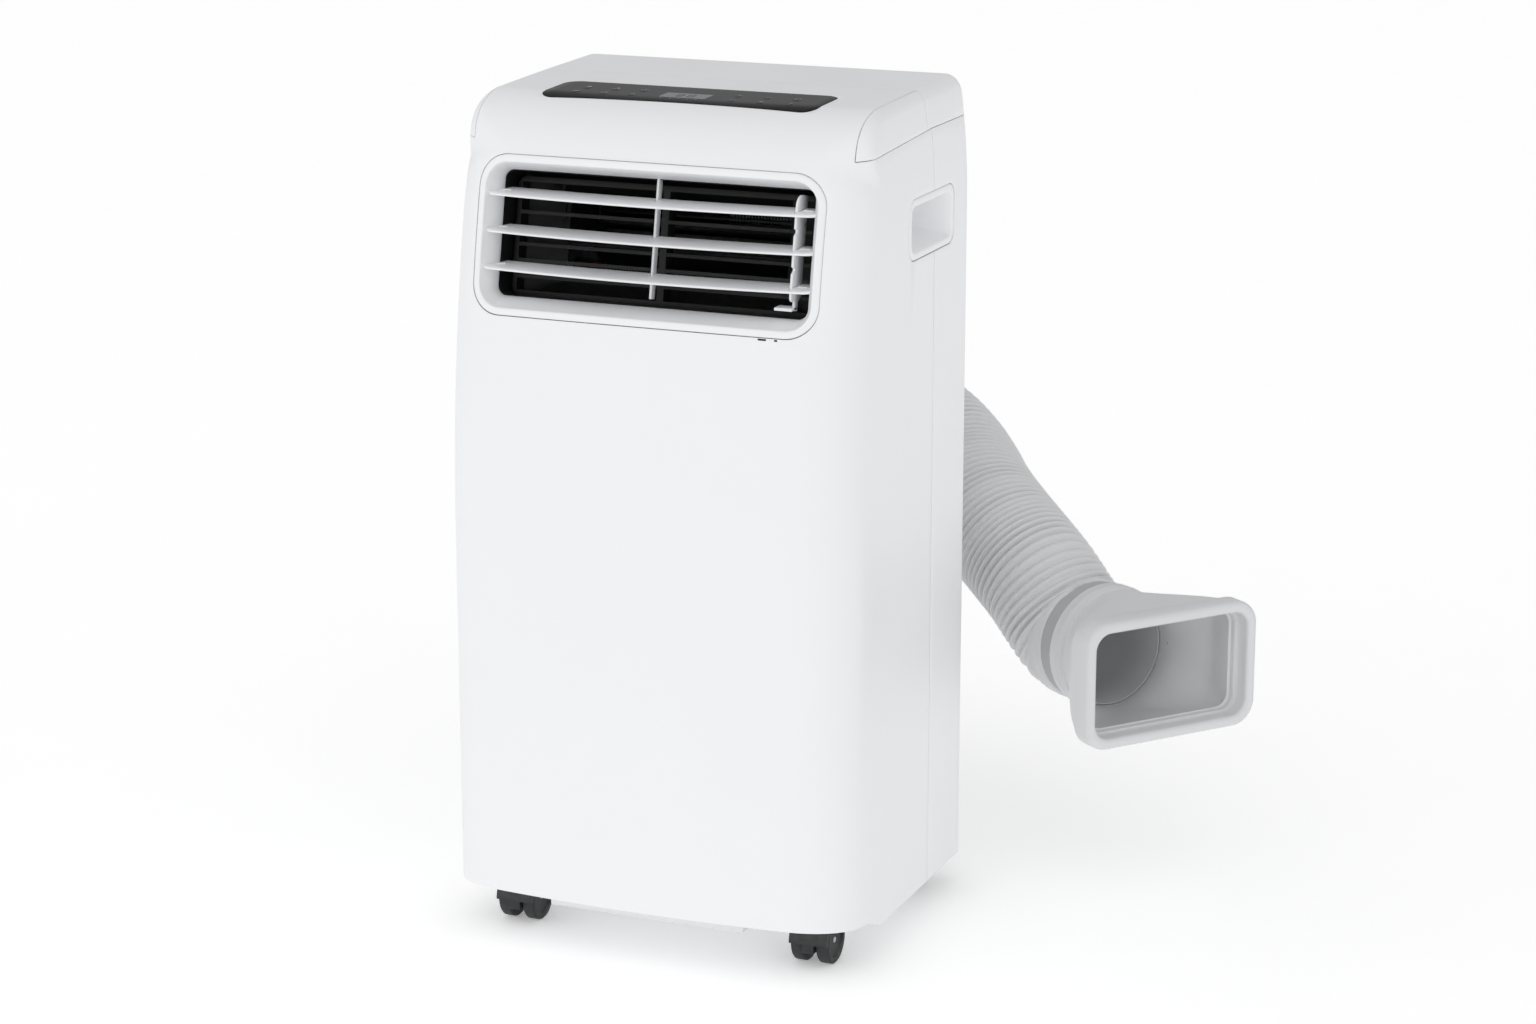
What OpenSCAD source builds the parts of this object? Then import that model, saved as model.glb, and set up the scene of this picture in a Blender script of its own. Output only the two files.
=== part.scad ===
// Portable room air conditioner on four castors, with a corrugated exhaust hose.
// Millimetres. +Z up, the front faces -Y. The origin is on the floor under the middle.

/* [Body] */
// Width of the casing
body_w = 355; // [340:1:440]
// Depth of the casing without the rear socket
body_d = 300; // [285:1:370]
// Height of the casing above the floor
body_h = 703; // [685:1:850]
// Wall of the moulded shells
shell_wall = 2.5; // [2:0.1:3.5]
// How far the front bulges between its corners
front_bow = 9; // [5:1:14]
// Radius of the two front corners
front_corner_r = 46; // [35:1:60]
// Radius of the two rear corners
rear_corner_r = 14; // [8:1:25]
// Height of the front panel's lower edge
front_lip_z = 48; // [44:1:56]
// Height of the side panels' lower edge
side_lip_z = 28; // [24:1:34]

/* [Front curve] */
// Distance from the top down to where the front begins to lean back
lean_drop = 358; // [330:1:400]
// Radius of the leaning front
lean_r = 1300; // [1150:10:1600]
// Radius of the rounded top front edge
nose_r = 76; // [60:1:90]
// How much lower the top is at the front than at the back
top_fall = 5; // [3:0.5:8]
// Inward curve of the sides at the top
side_crown = 8; // [5:1:10]

/* [Seams] */
// Distance of the side seam from the back
side_seam_back = 88; // [80:1:100]
// Distance from the top down to the cover's seam at the front
cover_drop_front = 45; // [42:1:50]
// Distance from the top down to the cover's seam at the sides
cover_drop_side = 34; // [30:1:40]
// Distance of the groove across the top from the back
groove_back = 97; // [93:1:110]

/* [Air outlet] */
// Width of the outlet frame
outlet_w = 297; // [270:1:300]
// Height of the outlet frame
outlet_h = 128; // [124:1:132]
// Distance from the top down to the outlet's centre
outlet_drop = 109; // [107:1:112]
// Width of the frame's rim
outlet_rim = 6; // [5:0.5:8]
// Depth of the recess in front of the grille
recess_depth = 19; // [15:1:24]
// Clear height between one louver and the next
louver_gap = 27.3; // [26:0.1:28]
// Thickness of a louver
louver_t = 2.2; // [1.8:0.1:2.6]
// Depth of a louver from front to back
louver_d = 38; // [34:1:40]
// Radius of a louver's pivot pin
louver_pin_r = 2; // [1.5:0.1:2.5]

/* [Control panel] */
// Width of the touch panel
panel_w = 238; // [200:1:250]
// Depth of the touch panel
panel_d = 63; // [50:1:68]
// Distance of the touch panel's front edge from the front
panel_back = 92; // [88:1:96]
// Width of the display window in the touch panel
display_w = 40; // [30:1:60]
// Depth of the display window
display_d = 20; // [12:1:24]

/* [Handles] */
// Length of a handle cup
handle_l = 106; // [95:1:110]
// Height of a handle cup
handle_h = 50; // [44:1:54]
// Depth of a handle pocket
handle_pocket = 32; // [26:1:34]
// Distance from the top down to the handle's middle
handle_drop = 109; // [100:1:120]

/* [Castors] */
// Radius of a castor wheel
wheel_r = 20; // [17:0.5:22]
// Width of one wheel of the pair
wheel_w = 11; // [9:0.5:12]
// Radius of a castor axle
axle_r = 2.5; // [2:0.1:3]
// Distance of each castor's stem from the middle, sideways
castor_x = 132.5; // [120:0.5:135]
// Distance of each castor's stem from the middle of the casing, front to back
castor_y = 87.5; // [75:0.5:90]
// How far the four castors stand behind the casing's middle
castor_shift = 22; // [15:1:26]
// Distance from the stem to the axle
castor_trail = 10; // [8:0.5:12]
// Radius of a castor's stem
stem_r = 4; // [3.5:0.1:5]

/* [Exhaust] */
// Outer radius of the round socket at the back
socket_r = 62; // [58:1:64]
// How far the socket stands out of the back
socket_out = 44; // [36:1:50]
// Distance of the socket's centre from the middle, to the right seen from the back
socket_side = 110; // [100:1:112]
// Height of the socket's centre
socket_z = 392; // [385:1:396]
// Outer radius of the exhaust hose
hose_r = 54.5; // [50:0.5:58]
// Wall of the hose, cuff and adaptor
hose_wall = 3; // [2:0.5:4]
// Width of the window adaptor's mouth
mouth_w = 176; // [150:1:190]
// Height of the window adaptor's mouth
mouth_h = 112; // [108:1:125]

/* [Cooling circuit] */
// Radius of the compressor
compressor_r = 54; // [45:1:58]
// Height of the compressor's shell
compressor_h = 190; // [150:1:200]
// Thickness of the two heat exchangers
coil_t = 24; // [18:1:26]
// Radius of the condenser's fan wheel
lower_fan_r = 78; // [65:1:80]
// Radius of the evaporator's fan wheel
upper_fan_r = 44; // [36:1:46]
// Radius of both fan shafts
shaft_r = 4; // [3:0.1:5]

/* [Hidden] */
$fn = 64;
eps = 0.01;
// Radial clearance of a shaft or pin that turns in a hole
run_gap = 0.05;
// Gap between pieces that move past each other
move_gap = 0.8;
// Gap between an inner piece and the shell around it
shell_gap = 0.5;

white = "#ECEDEF";
inner_white = "#E2E3E6";
black = "#1C1C1C";
dark_glass = "#2B2B2D";
hose_grey = "#D3D4D5";
metal = "#B9BDC1";
copper = "#B87333";

// ---- Places worked out from the driving sizes ----
half_w = body_w / 2;
front_y = -(body_d + socket_out) / 2;
back_y = front_y + body_d;
mid_y = (front_y + back_y) / 2;
seam_y = back_y - side_seam_back;
groove_y = back_y - groove_back;
lean_z = body_h - lean_drop;
top_front_z = body_h - top_fall;
crown_z = body_h - 103;
cover_front_z = body_h - cover_drop_front;
cover_side_z = body_h - cover_drop_side;
inner_x = half_w - shell_wall;
inner_back_y = back_y - shell_wall;

// Angle at which the leaning front meets the rounded top edge
lean_a = asin((top_front_z - nose_r - lean_z) / (lean_r - nose_r));
lean_c = [front_y + lean_r, lean_z];
nose_c = lean_c + (lean_r - nose_r) * [-cos(lean_a), sin(lean_a)];
nose_end_a = 86;

outlet_z = body_h - outlet_drop;
outlet_tilt = asin((outlet_z - lean_z) / lean_r);
// Casing's front, at the bow's middle, on the level of the outlet
outlet_y = lean_c[0] - lean_r * cos(outlet_tilt);
recess_w = outlet_w - 2 * (outlet_rim + 12);
recess_h = outlet_h - 2 * (outlet_rim + 10);
louver_pitch = louver_gap + louver_t;
louver_w = outlet_w - 2 * outlet_rim - 8;
// The pivot lies behind the middle of a louver
pivot_from_front = 0.7 * louver_d;
link_x = outlet_w / 2 - 27;
link_arm = 9;
link_t = 2;
link_pin_r = 1.5;
peg_l = 9;
// Depths in the frame, measured back from the casing's front at the outlet's middle
pivot_y = pivot_from_front - 1;
link_y = pivot_y + link_arm;
// Brings the middle louver's pivot level with the outlet's centre
louver_rise = pivot_y * tan(outlet_tilt);
recess_y = front_bow + 4 + recess_depth;
tunnel_y1 = recess_y + 30;
grille_t = 14;
grille_pitch = (recess_h - 6) / 7;
pin_wall = 4;
support_t = 2;
support_y = pivot_y + 5;
frame_round = 26;

// Touch panel, set flush into the cover
panel_y = front_y + panel_back + panel_d / 2;
panel_round = 13;
carrier_lip = 6;
carrier_t = 2;
seal_gap = 0.2;

// Handles, level with the outlet and crossed by the side seam
handle_z = body_h - handle_drop;
handle_y = seam_y - 6;
handle_round = 12;

// Rear wall: two intake grilles, the mains gland, two drains and six screws
upper_grille_z = body_h - 143;
upper_grille_h = 170;
lower_grille_z = 196;
lower_grille_h = 214;
grille_w = body_w - 65;
grille_round = 6;
slat_pitch = 9;
gland_x = half_w - 50;
gland_z = 344;
gland_r = 9;
cord_r = 4;
drain_x = half_w - 40;
upper_drain_z = 404;
lower_drain_z = 72;
drain_r = 8;
screw_x = half_w - 12;
screw_r = 2;
screw_zs = [96, 330, body_h - 63];

// Base pan and castors
base_floor_z = front_lip_z - 1;
base_t = 3;
base_rim = 8;
boss_r = stem_r + 5;
stem_top_z = base_floor_z + base_t + 16;
wheel_gap = 10;
hood_r = wheel_r + 3.5;
castor_w = wheel_gap + 2 * (wheel_w + 0.5);
// The sump stays clear of the castors as they swivel
sump_x = castor_x - castor_trail - wheel_r - castor_w / 2;
sump_y0 = front_y + 26;
sump_y1 = back_y - 12;
sump_z = side_lip_z + 6;
sump_deck_y = front_y + 160;

// Inside: heat exchangers at the back, fans in front of them, compressor in the front left
coil_w = body_w - 85;
condenser_y = back_y - 42;
condenser_z = 84;
condenser_h = 232;
condenser_rows = 10;
evaporator_rows = 8;
evaporator_h = 170;
evaporator_z = upper_grille_z - evaporator_h / 2;
tray_x = half_w - 16;
tray_y0 = front_y + 64;
tray_y1 = back_y - 34;
tray_z = upper_grille_z - upper_grille_h / 2 - 18;
foot_low_z = base_floor_z + base_t;
foot_top_z = foot_low_z + 19;
compressor_dome = 27;
compressor_x = -half_w + 98;
compressor_y = front_y + 80;
lower_fan_x = 22;
lower_fan_z = 232;
lower_house_d = 56;
lower_house_y0 = condenser_y - lower_house_d - 6;
upper_fan_l = 190;
upper_fan_y = condenser_y - upper_fan_r - 16;
upper_fan_z = outlet_z;
duct_y0 = outlet_y + tunnel_y1 + 14;
pipe_x = -half_w + 7.6;
electric_x0 = 30;
electric_y0 = front_y + 40;
electric_z = 322;
splash_r = 26;
splash_x = 110;
splash_z = base_floor_z + base_t + splash_r + 8;
splash_y = condenser_y - 14;

// Route of the hose's axis: out of the socket, round behind the casing, forward beside it
hose_route = [[-110, 172, 392], [-110, 202, 392], [-110, 232, 392], [-110, 264, 391],
    [-108, 297, 389], [-103, 330, 385], [-93, 362, 378], [-76, 391, 369], [-52, 414, 358],
    [-23, 428, 345], [9, 431, 331], [40, 423, 317], [66, 406, 303], [87, 384, 291],
    [105, 360, 281], [123, 339, 272], [142, 321, 262], [161, 306, 251], [179, 293, 240],
    [196, 282, 228], [210, 274, 215], [223, 268, 202], [237, 262, 191]];
// Compass angle of the adaptor's mouth, turned from the front towards the right
mouth_a = 52;
mouth_dir = [sin(mouth_a), -cos(mouth_a), 0];
cuff_l = 53;
adaptor_l = 90;
hose_sides = 12;

// ---- Shared outlines ----
function arc(c, r, a0, a1, n) =
    [for (i = [0:n]) let (a = a0 + (a1 - a0) * i / n) c + r * [cos(a), sin(a)]];

// Plan of the casing, drawn in by t: two large front corners, a bowed front, two small rear corners
function plan(t) = let (
        fx = half_w - front_corner_r,
        fy = front_y + front_bow + front_corner_r,
        rx = half_w - rear_corner_r,
        ry = back_y - rear_corner_r,
        fr = front_corner_r - t,
        rr = rear_corner_r - t)
    concat(
        arc([-fx, fy], fr, 180, 262, 9),
        [for (i = [-4:4]) let (u = i / 5) [u * fx, front_y + t + front_bow * u * u]],
        arc([fx, fy], fr, 278, 360, 9),
        arc([rx, ry], rr, 0, 90, 5),
        arc([-rx, ry], rr, 90, 180, 5));

// Side view of the casing, drawn in by t and open below z0
function side_view(t, z0) = concat(
    [[back_y - t, z0], [back_y - t, body_h - t - 4], [back_y - t - 4, body_h - t]],
    [for (i = [0:10]) let (a = nose_end_a + (lean_a - nose_end_a) * i / 10)
        nose_c + (nose_r - t) * [-cos(a), sin(a)]],
    [for (i = [1:8]) let (a = lean_a * (1 - i / 8))
        lean_c + (lean_r - t) * [-cos(a), sin(a)]],
    [[front_y + t, z0]]);

function crown_x(z) = let (u = max(0, z - crown_z) / (body_h - crown_z)) side_crown * u * u;

// Front view of the casing, drawn in by t and open below z0
function front_view(t, z0) = let (
        zs = [z0, crown_z, crown_z + 25, crown_z + 50, crown_z + 75, body_h - t - 5],
        right = [for (z = zs) [half_w - t - crown_x(z), z]],
        rim = [half_w - t - crown_x(body_h) - 5, body_h - t + eps])
    concat(right, [rim, [-rim[0], rim[1]]],
        [for (i = [len(right) - 1:-1:0]) [-right[i][0], right[i][1]]]);

// Extrusions of an outline given in the Y-Z plane, and of one in the X-Z plane
module along_x(points, w) rotate([90, 0, 90]) linear_extrude(height = w, center = true) polygon(points);
module along_y(points, d) rotate([90, 0, 0]) linear_extrude(height = d, center = true) polygon(points);

// The casing as one solid, drawn in by t
module casing(t, z0) {
    intersection() {
        translate([0, 0, z0]) linear_extrude(height = body_h - z0 + 1) polygon(plan(t));
        along_x(side_view(t, z0), body_w + 2);
        translate([0, mid_y, 0]) along_y(front_view(t, z0), body_d + 2);
    }
}

// The casing's wall all over, open at the bottom
module shell_skin() difference() {
    casing(0, side_lip_z);
    casing(shell_wall, side_lip_z - 1);
}

module box(low, high) translate(low) cube(high - low);

// A bar with round corners that lies along Y
module bar_y(w, h, r, y0, y1) {
    translate([0, y1, 0]) rotate([90, 0, 0]) linear_extrude(height = y1 - y0) round_rect(w, h, r);
}

module round_rect(w, h, r) {
    square([w - 2 * r, h], center = true);
    square([w, h - 2 * r], center = true);
    for (x = [-1, 1], y = [-1, 1])
        translate([x * (w / 2 - r), y * (h / 2 - r)]) circle(r);
}

// A round rod from p to q
module rod(p, q, r) {
    d = q - p;
    translate(p) rotate([0, acos(d[2] / norm(d)), atan2(d[1], d[0])]) cylinder(h = norm(d), r = r);
}

// A round pipe through the given points, with a brazed elbow at each turn
module pipe(points, r) {
    for (i = [0:len(points) - 2]) rod(points[i], points[i + 1], r);
    for (i = [1:len(points) - 2]) translate(points[i]) sphere(r + 0.4);
}

// ---- Casing ----
// Everything above the cover's seam
module cover_region() {
    along_x([[front_y - 1, cover_front_z], [seam_y, cover_side_z], [back_y + 1, cover_side_z],
        [back_y + 1, body_h + 1], [front_y - 1, body_h + 1]], body_w + 2);
}

// Front panel region: its lower edge is high in front and low at the sides
module front_region() {
    along_x([[front_y - 1, front_lip_z], [front_y + 70, front_lip_z - 12],
        [front_y + 100, side_lip_z], [seam_y, side_lip_z], [seam_y, cover_side_z],
        [front_y - 1, cover_front_z]], body_w + 2);
}

module outlet_place() translate([0, outlet_y, outlet_z]) rotate([-outlet_tilt, 0, 0]) children();

module handle_cut() {
    for (s = [-1, 1])
        translate([s * (half_w - shell_wall), handle_y, handle_z]) rotate([0, 0, 90])
            bar_y(handle_l, handle_h, handle_round, -shell_wall * 3, shell_wall * 3);
}

module front_shell() {
    color(white) difference() {
        intersection() {
            shell_skin();
            front_region();
        }
        outlet_place() bar_y(outlet_w + 2 * seal_gap, outlet_h + 2 * seal_gap, frame_round, -30, tunnel_y1);
        handle_cut();
    }
}

module rear_shell() {
    color(white) difference() {
        shell_skin();
        box([-half_w - 1, front_y - 1, 0], [half_w + 1, seam_y, body_h + 1]);
        cover_region();
        translate([0, 0, upper_grille_z]) bar_y(grille_w, upper_grille_h, 6, back_y - 9, back_y + 9);
        translate([0, 0, lower_grille_z]) bar_y(grille_w, lower_grille_h, 6, back_y - 9, back_y + 9);
        hole_y([-socket_side, socket_z], socket_r + seal_gap);
        hole_y([gland_x, gland_z], gland_r + seal_gap);
        hole_y([drain_x, upper_drain_z], drain_r + 3);
        hole_y([drain_x, lower_drain_z], drain_r + 3);
        handle_cut();
        for (s = [-1, 1], z = screw_zs) hole_y([s * screw_x, z], screw_r);
    }
}

// A round hole through the rear wall
module hole_y(p, r) translate([p[0], back_y - 9, p[1]]) rotate([-90, 0, 0]) cylinder(h = 18, r = r);

module top_front_cover() {
    color(white) difference() {
        shell_skin();
        front_below_cover();
        box([-half_w - 1, groove_y, 0], [half_w + 1, back_y + 1, body_h + 1]);
        panel_prism(0);
    }
}

// Everything below the cover's seam
module front_below_cover() {
    along_x([[front_y - 1, 0], [back_y + 1, 0], [back_y + 1, cover_side_z], [seam_y, cover_side_z],
        [front_y - 1, cover_front_z]], body_w + 2);
}

module top_rear_cover() {
    color(white) difference() {
        shell_skin();
        front_below_cover();
        box([-half_w - 1, front_y - 1, 0], [half_w + 1, groove_y, body_h + 1]);
    }
}

// ---- Control panel ----
// Upright prism over the touch panel, grown by extra on every side
module panel_prism(extra) {
    translate([0, panel_y, top_front_z - 40]) linear_extrude(height = 80)
        round_rect(panel_w + 2 * extra, panel_d + 2 * extra, panel_round + extra);
}

module display_prism() {
    translate([0, panel_y - 6, top_front_z - 40]) linear_extrude(height = 80)
        round_rect(display_w, display_d, 1.5);
}

module touch_panel() {
    color(dark_glass) difference() {
        intersection() {
            shell_skin();
            panel_prism(0);
        }
        display_prism();
    }
}

module display_window() {
    color("#6E7276") intersection() {
        shell_skin();
        display_prism();
    }
}

// Carrier under the touch panel: it holds the keys' circuit and clips under the cover
module control_board() {
    color("#1E3A2A") intersection() {
        difference() {
            casing(shell_wall, side_lip_z);
            casing(shell_wall + carrier_t, side_lip_z - 1);
        }
        panel_prism(carrier_lip);
    }
}

// ---- Air outlet ----
// Rounded frame that follows the casing's front, with sloped recess walls and a tunnel behind
module outlet_frame() {
    color(white) difference() {
        intersection() {
            casing(0, side_lip_z);
            outlet_place() bar_y(outlet_w, outlet_h, frame_round, -30, tunnel_y1);
        }
        outlet_place() {
            recess();
            bar_y(recess_w, recess_h, 8, -10, tunnel_y1 + 1);
            for (i = [-1:1]) translate([0, pivot_y, louver_rise + i * louver_pitch]) rotate([0, 90, 0])
                cylinder(h = outlet_w - 2 * pin_wall, r = louver_pin_r + run_gap, center = true);
            // Slot in the ceiling for the link's peg
            box([link_x - 4, link_y - 5, recess_h / 2 - 1], [link_x + 4, link_y + 6, outlet_h / 2 + 1]);
        }
    }
}

// Tapered recess: wide at the casing's front and narrow at the grille
module recess() {
    hull() {
        bar_y(outlet_w - 2 * outlet_rim, outlet_h - 2 * outlet_rim, 20, -30, front_bow - 6);
        bar_y(recess_w, recess_h, 8, recess_y - 1, recess_y);
    }
}

module outlet_grille() {
    color(black) outlet_place() difference() {
        bar_y(recess_w, recess_h, 8, tunnel_y1 - grille_t, tunnel_y1);
        for (i = [-3:3]) bar_z_slot(i * grille_pitch);
    }
}

// One open slot of the outlet grille, at local height z
module bar_z_slot(z) {
    box([-recess_w / 2 + 4, tunnel_y1 - 20, z - grille_pitch / 2 + 1.5],
        [-3, tunnel_y1 + 1, z + grille_pitch / 2 - 1.5]);
    box([3, tunnel_y1 - 20, z - grille_pitch / 2 + 1.5],
        [recess_w / 2 - 4, tunnel_y1 + 1, z + grille_pitch / 2 - 1.5]);
}

// Upright web in the middle of the outlet: it reaches into a slot at the back of each louver
module centre_support() {
    color(white) outlet_place()
        box([-support_t / 2, support_y, -recess_h / 2], [support_t / 2, tunnel_y1 - grille_t, recess_h / 2]);
}

// A louver, level at rest although the frame leans. z is its place above the middle one
module louver(z) {
    color(white) outlet_place() translate([0, pivot_y, louver_rise + z]) rotate([outlet_tilt, 0, 0]) {
        difference() {
            translate([0, 0, -louver_t / 2]) linear_extrude(height = louver_t) louver_plan();
            // Slot around the middle support
            box([-support_t / 2 - move_gap, support_y - pivot_y - 6, -louver_t],
                [support_t / 2 + move_gap, louver_d, louver_t]);
            // Slot around the link, open at the back
            box([link_x - link_t / 2 - move_gap, -1, -louver_t],
                [link_x + link_t / 2 + move_gap, louver_d, louver_t]);
        }
        rotate([0, 90, 0]) cylinder(h = outlet_w - 2 * pin_wall - 2, r = louver_pin_r, center = true);
        translate([0, link_arm, 0]) rotate([0, 90, 0])
            translate([0, 0, link_x - 5]) cylinder(h = 10, r = link_pin_r);
    }
}

// Plan of a louver about its pivot: round front corners, then ends that follow the recess walls
module louver_plan() {
    front = -pivot_from_front;
    back = louver_d - pivot_from_front;
    end_y = recess_y - pivot_y;
    back_w = recess_w / 2 - 2;
    intersection() {
        translate([0, front + louver_d / 2]) round_rect(louver_w, louver_d, 9);
        polygon([[-louver_w / 2, front], [louver_w / 2, front], [louver_w / 2, front + 9],
            [back_w, end_y], [back_w, back], [-back_w, back], [-back_w, end_y],
            [-louver_w / 2, front + 9]]);
    }
}

module louver_upper() louver(louver_pitch);
module louver_middle() louver(0);
module louver_lower() louver(-louver_pitch);

// Where the link holds the pin of the louver at height z above the middle one
function link_pin(z) = [pivot_y + link_arm * cos(outlet_tilt), z + link_arm * sin(outlet_tilt)];

// Upright link that turns the three louvers together, with a thumb tab at its foot
module louver_link() {
    top = louver_pitch + 9.5;
    foot = recess_h / 2 - 7 + louver_rise;
    color(white) outlet_place() translate([0, 0, louver_rise]) difference() {
        union() {
            translate([link_x, 0, 0]) along_x(link_outline(top, foot), link_t);
            translate([link_x, link_y, top - 3]) cylinder(h = peg_l, r = link_pin_r);
            box([link_x - 14, link_y - 10, -foot], [link_x + link_t / 2, link_y + 6, 2.5 - foot]);
        }
        for (i = [-1:1]) let (p = link_pin(i * louver_pitch))
            translate([link_x, p[0], p[1]]) rotate([0, 90, 0])
                cylinder(h = 2 * link_t, r = link_pin_r + run_gap, center = true);
    }
}

// Outline of the link in the Y-Z plane, with a notch between one louver and the next
function link_outline(top, foot) = let (
        f = link_y - 6,
        b = link_y + 8,
        low = -1.35 * louver_pitch,
        notch = [for (i = [-1, 0]) let (z = (i + 0.5) * louver_pitch)
            [[f, z - 3], [f + 3, z], [f + 1, z + 2]]])
    concat([[b, low], [b - 5, low], [b - 5, -foot], [f + 3, -foot], [f + 3, low], [f, low]],
        notch[0], notch[1], [[f, top - 4], [f + 4, top], [b, top]]);

// ---- Handles ----
module handle(s) {
    color(white) translate([s * half_w, handle_y, handle_z]) rotate([0, 0, s * 90])
        difference() {
            bar_y(handle_l - 2 * seal_gap, handle_h - 2 * seal_gap, handle_round, 0.2, handle_pocket + 4);
            hull() {
                bar_y(handle_l - 12, handle_h - 12, handle_round - 4, -1, 0.5);
                translate([0, 0, 3]) bar_y(handle_l - 34, handle_h - 24, 6, handle_pocket, handle_pocket + 1);
            }
        }
}

module handle_left() handle(-1);
module handle_right() handle(1);

// ---- Base and castors ----
function castor_spot(sx, sy) = [sx * castor_x, mid_y + castor_shift + sy * castor_y];

module base_pan() {
    color(white) difference() {
        union() {
            // Plate over the castors, with a rim
            difference() {
                translate([0, 0, base_floor_z]) linear_extrude(height = base_t + base_rim)
                    polygon(plan(shell_wall + shell_gap));
                translate([0, 0, base_floor_z + base_t]) linear_extrude(height = base_rim + 1)
                    polygon(plan(2 * shell_wall + shell_gap));
            }
            // Deeper sump between the castors
            box([-sump_x, sump_y0, sump_z], [sump_x, sump_y1, base_floor_z + base_t]);
            for (sx = [-1, 1], sy = [-1, 1]) let (p = castor_spot(sx, sy))
                translate([p[0], p[1], base_floor_z]) cylinder(h = stem_top_z - base_floor_z, r = boss_r);
        }
        box([base_t - sump_x, sump_deck_y, sump_z + base_t],
            [sump_x - base_t, sump_y1 - base_t, base_floor_z + base_t + 1]);
        // The part under the compressor is hollow from below, so that its feet stand on a deck
        box([base_t - sump_x, sump_y0 + base_t, sump_z - 1],
            [sump_x - base_t, sump_deck_y - base_t, base_floor_z]);
        for (sx = [-1, 1], sy = [-1, 1]) let (p = castor_spot(sx, sy))
            translate([p[0], p[1], base_floor_z - 1]) cylinder(h = 60, r = stem_r + run_gap);
    }
}

// Hood, web and stem of one castor; the wheels trail away from the middle
module castor(sx, sy) {
    p = castor_spot(sx, sy);
    color(black) translate([p[0], p[1], 0]) difference() {
        union() {
            translate([0, sy * castor_trail, wheel_r]) rotate([0, 90, 0])
                cylinder(h = castor_w, r = hood_r, center = true);
            translate([0, 0, wheel_r + 6]) cylinder(h = hood_r - 4, r = boss_r);
            cylinder(h = stem_top_z - 1, r = stem_r);
        }
        // Room for the two wheels
        for (s = [-1, 1]) translate([s * (wheel_gap / 2 + castor_w), sy * castor_trail, wheel_r])
            rotate([0, 90, 0]) cylinder(h = 2 * castor_w, r = wheel_r + move_gap, center = true);
        // The hood covers only the upper half, the web reaches just below the axle
        for (s = [-1, 1]) translate([s * (wheel_gap / 2 + castor_w), sy * castor_trail, 0])
            cube([2 * castor_w, 4 * wheel_r, 2 * wheel_r + 2], center = true);
        translate([0, sy * castor_trail, 0])
            cube([castor_w, 4 * wheel_r, 2 * (wheel_r - axle_r - 4)], center = true);
        translate([0, sy * castor_trail, wheel_r]) rotate([0, 90, 0])
            cylinder(h = castor_w + 1, r = axle_r, center = true);
    }
}

module castor_axle(sx, sy) {
    p = castor_spot(sx, sy);
    color(metal) translate([p[0], p[1] + sy * castor_trail, wheel_r]) rotate([0, 90, 0])
        cylinder(h = castor_w - 3, r = axle_r, center = true);
}

// Twin wheels with a recessed hub face
module castor_wheels(sx, sy) {
    p = castor_spot(sx, sy);
    color(black) translate([p[0], p[1] + sy * castor_trail, wheel_r]) for (s = [-1, 1])
        translate([s * (wheel_gap / 2 + 0.5), 0, 0]) rotate([0, s * 90, 0]) difference() {
            union() {
                cylinder(h = wheel_w, r = wheel_r - 1);
                translate([0, 0, 1]) cylinder(h = wheel_w - 2, r = wheel_r);
            }
            translate([0, 0, wheel_w - 2]) cylinder(h = 3, r = wheel_r - 5);
            translate([0, 0, -1]) cylinder(h = wheel_w, r = axle_r + run_gap);
        }
}

module castor_front_left() castor(-1, -1);
module castor_front_right() castor(1, -1);
module castor_rear_left() castor(-1, 1);
module castor_rear_right() castor(1, 1);
module axle_front_left() castor_axle(-1, -1);
module axle_front_right() castor_axle(1, -1);
module axle_rear_left() castor_axle(-1, 1);
module axle_rear_right() castor_axle(1, 1);
module wheels_front_left() castor_wheels(-1, -1);
module wheels_front_right() castor_wheels(1, -1);
module wheels_rear_left() castor_wheels(-1, 1);
module wheels_rear_right() castor_wheels(1, 1);

// ---- Cooling circuit ----
module compressor() {
    color(black) translate([compressor_x, compressor_y, foot_top_z]) {
        cylinder(h = 4, r = compressor_r + 12, $fn = 6);
        translate([0, 0, 4]) cylinder(h = compressor_h, r = compressor_r);
        intersection() {
            translate([0, 0, compressor_h + compressor_dome - 73]) sphere(r = 73);
            translate([0, 0, compressor_h + 4]) cylinder(h = 30, r = compressor_r - 2);
        }
    }
}

module compressor_feet() {
    color(black) for (a = [0, 120, 240])
        translate([compressor_x, compressor_y, foot_low_z]) rotate([0, 0, a]) translate([compressor_r + 1, 0, 0])
            cylinder(h = foot_top_z - foot_low_z, r = 9);
}

// Heat exchanger: a block of fins between two end plates, with return bends at both ends
module coil(w, h, y0, z0, rows) {
    color(metal) {
        box([-w / 2, y0, z0], [w / 2, y0 + coil_t, z0 + h]);
        for (s = [-1, 1]) translate([s * (w / 2 + 1), y0 + coil_t / 2, z0 + h / 2])
            cube([2, coil_t + 4, h], center = true);
    }
    pitch = h / (rows + 1);
    color(copper) for (s = [-1, 1], i = [1:2:rows - 1])
        translate([s * (w / 2 + 2), y0 + coil_t / 2, z0 + (i + 0.5) * pitch])
            rotate([90, 0, 0]) rotate([0, 0, s * 90 - 180]) rotate_extrude(angle = 180)
                translate([pitch / 2, 0]) circle(3.5);
}

module condenser() coil(coil_w, condenser_h, condenser_y, condenser_z, condenser_rows);
module evaporator() coil(coil_w, evaporator_h, condenser_y, evaporator_z, evaporator_rows);

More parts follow.
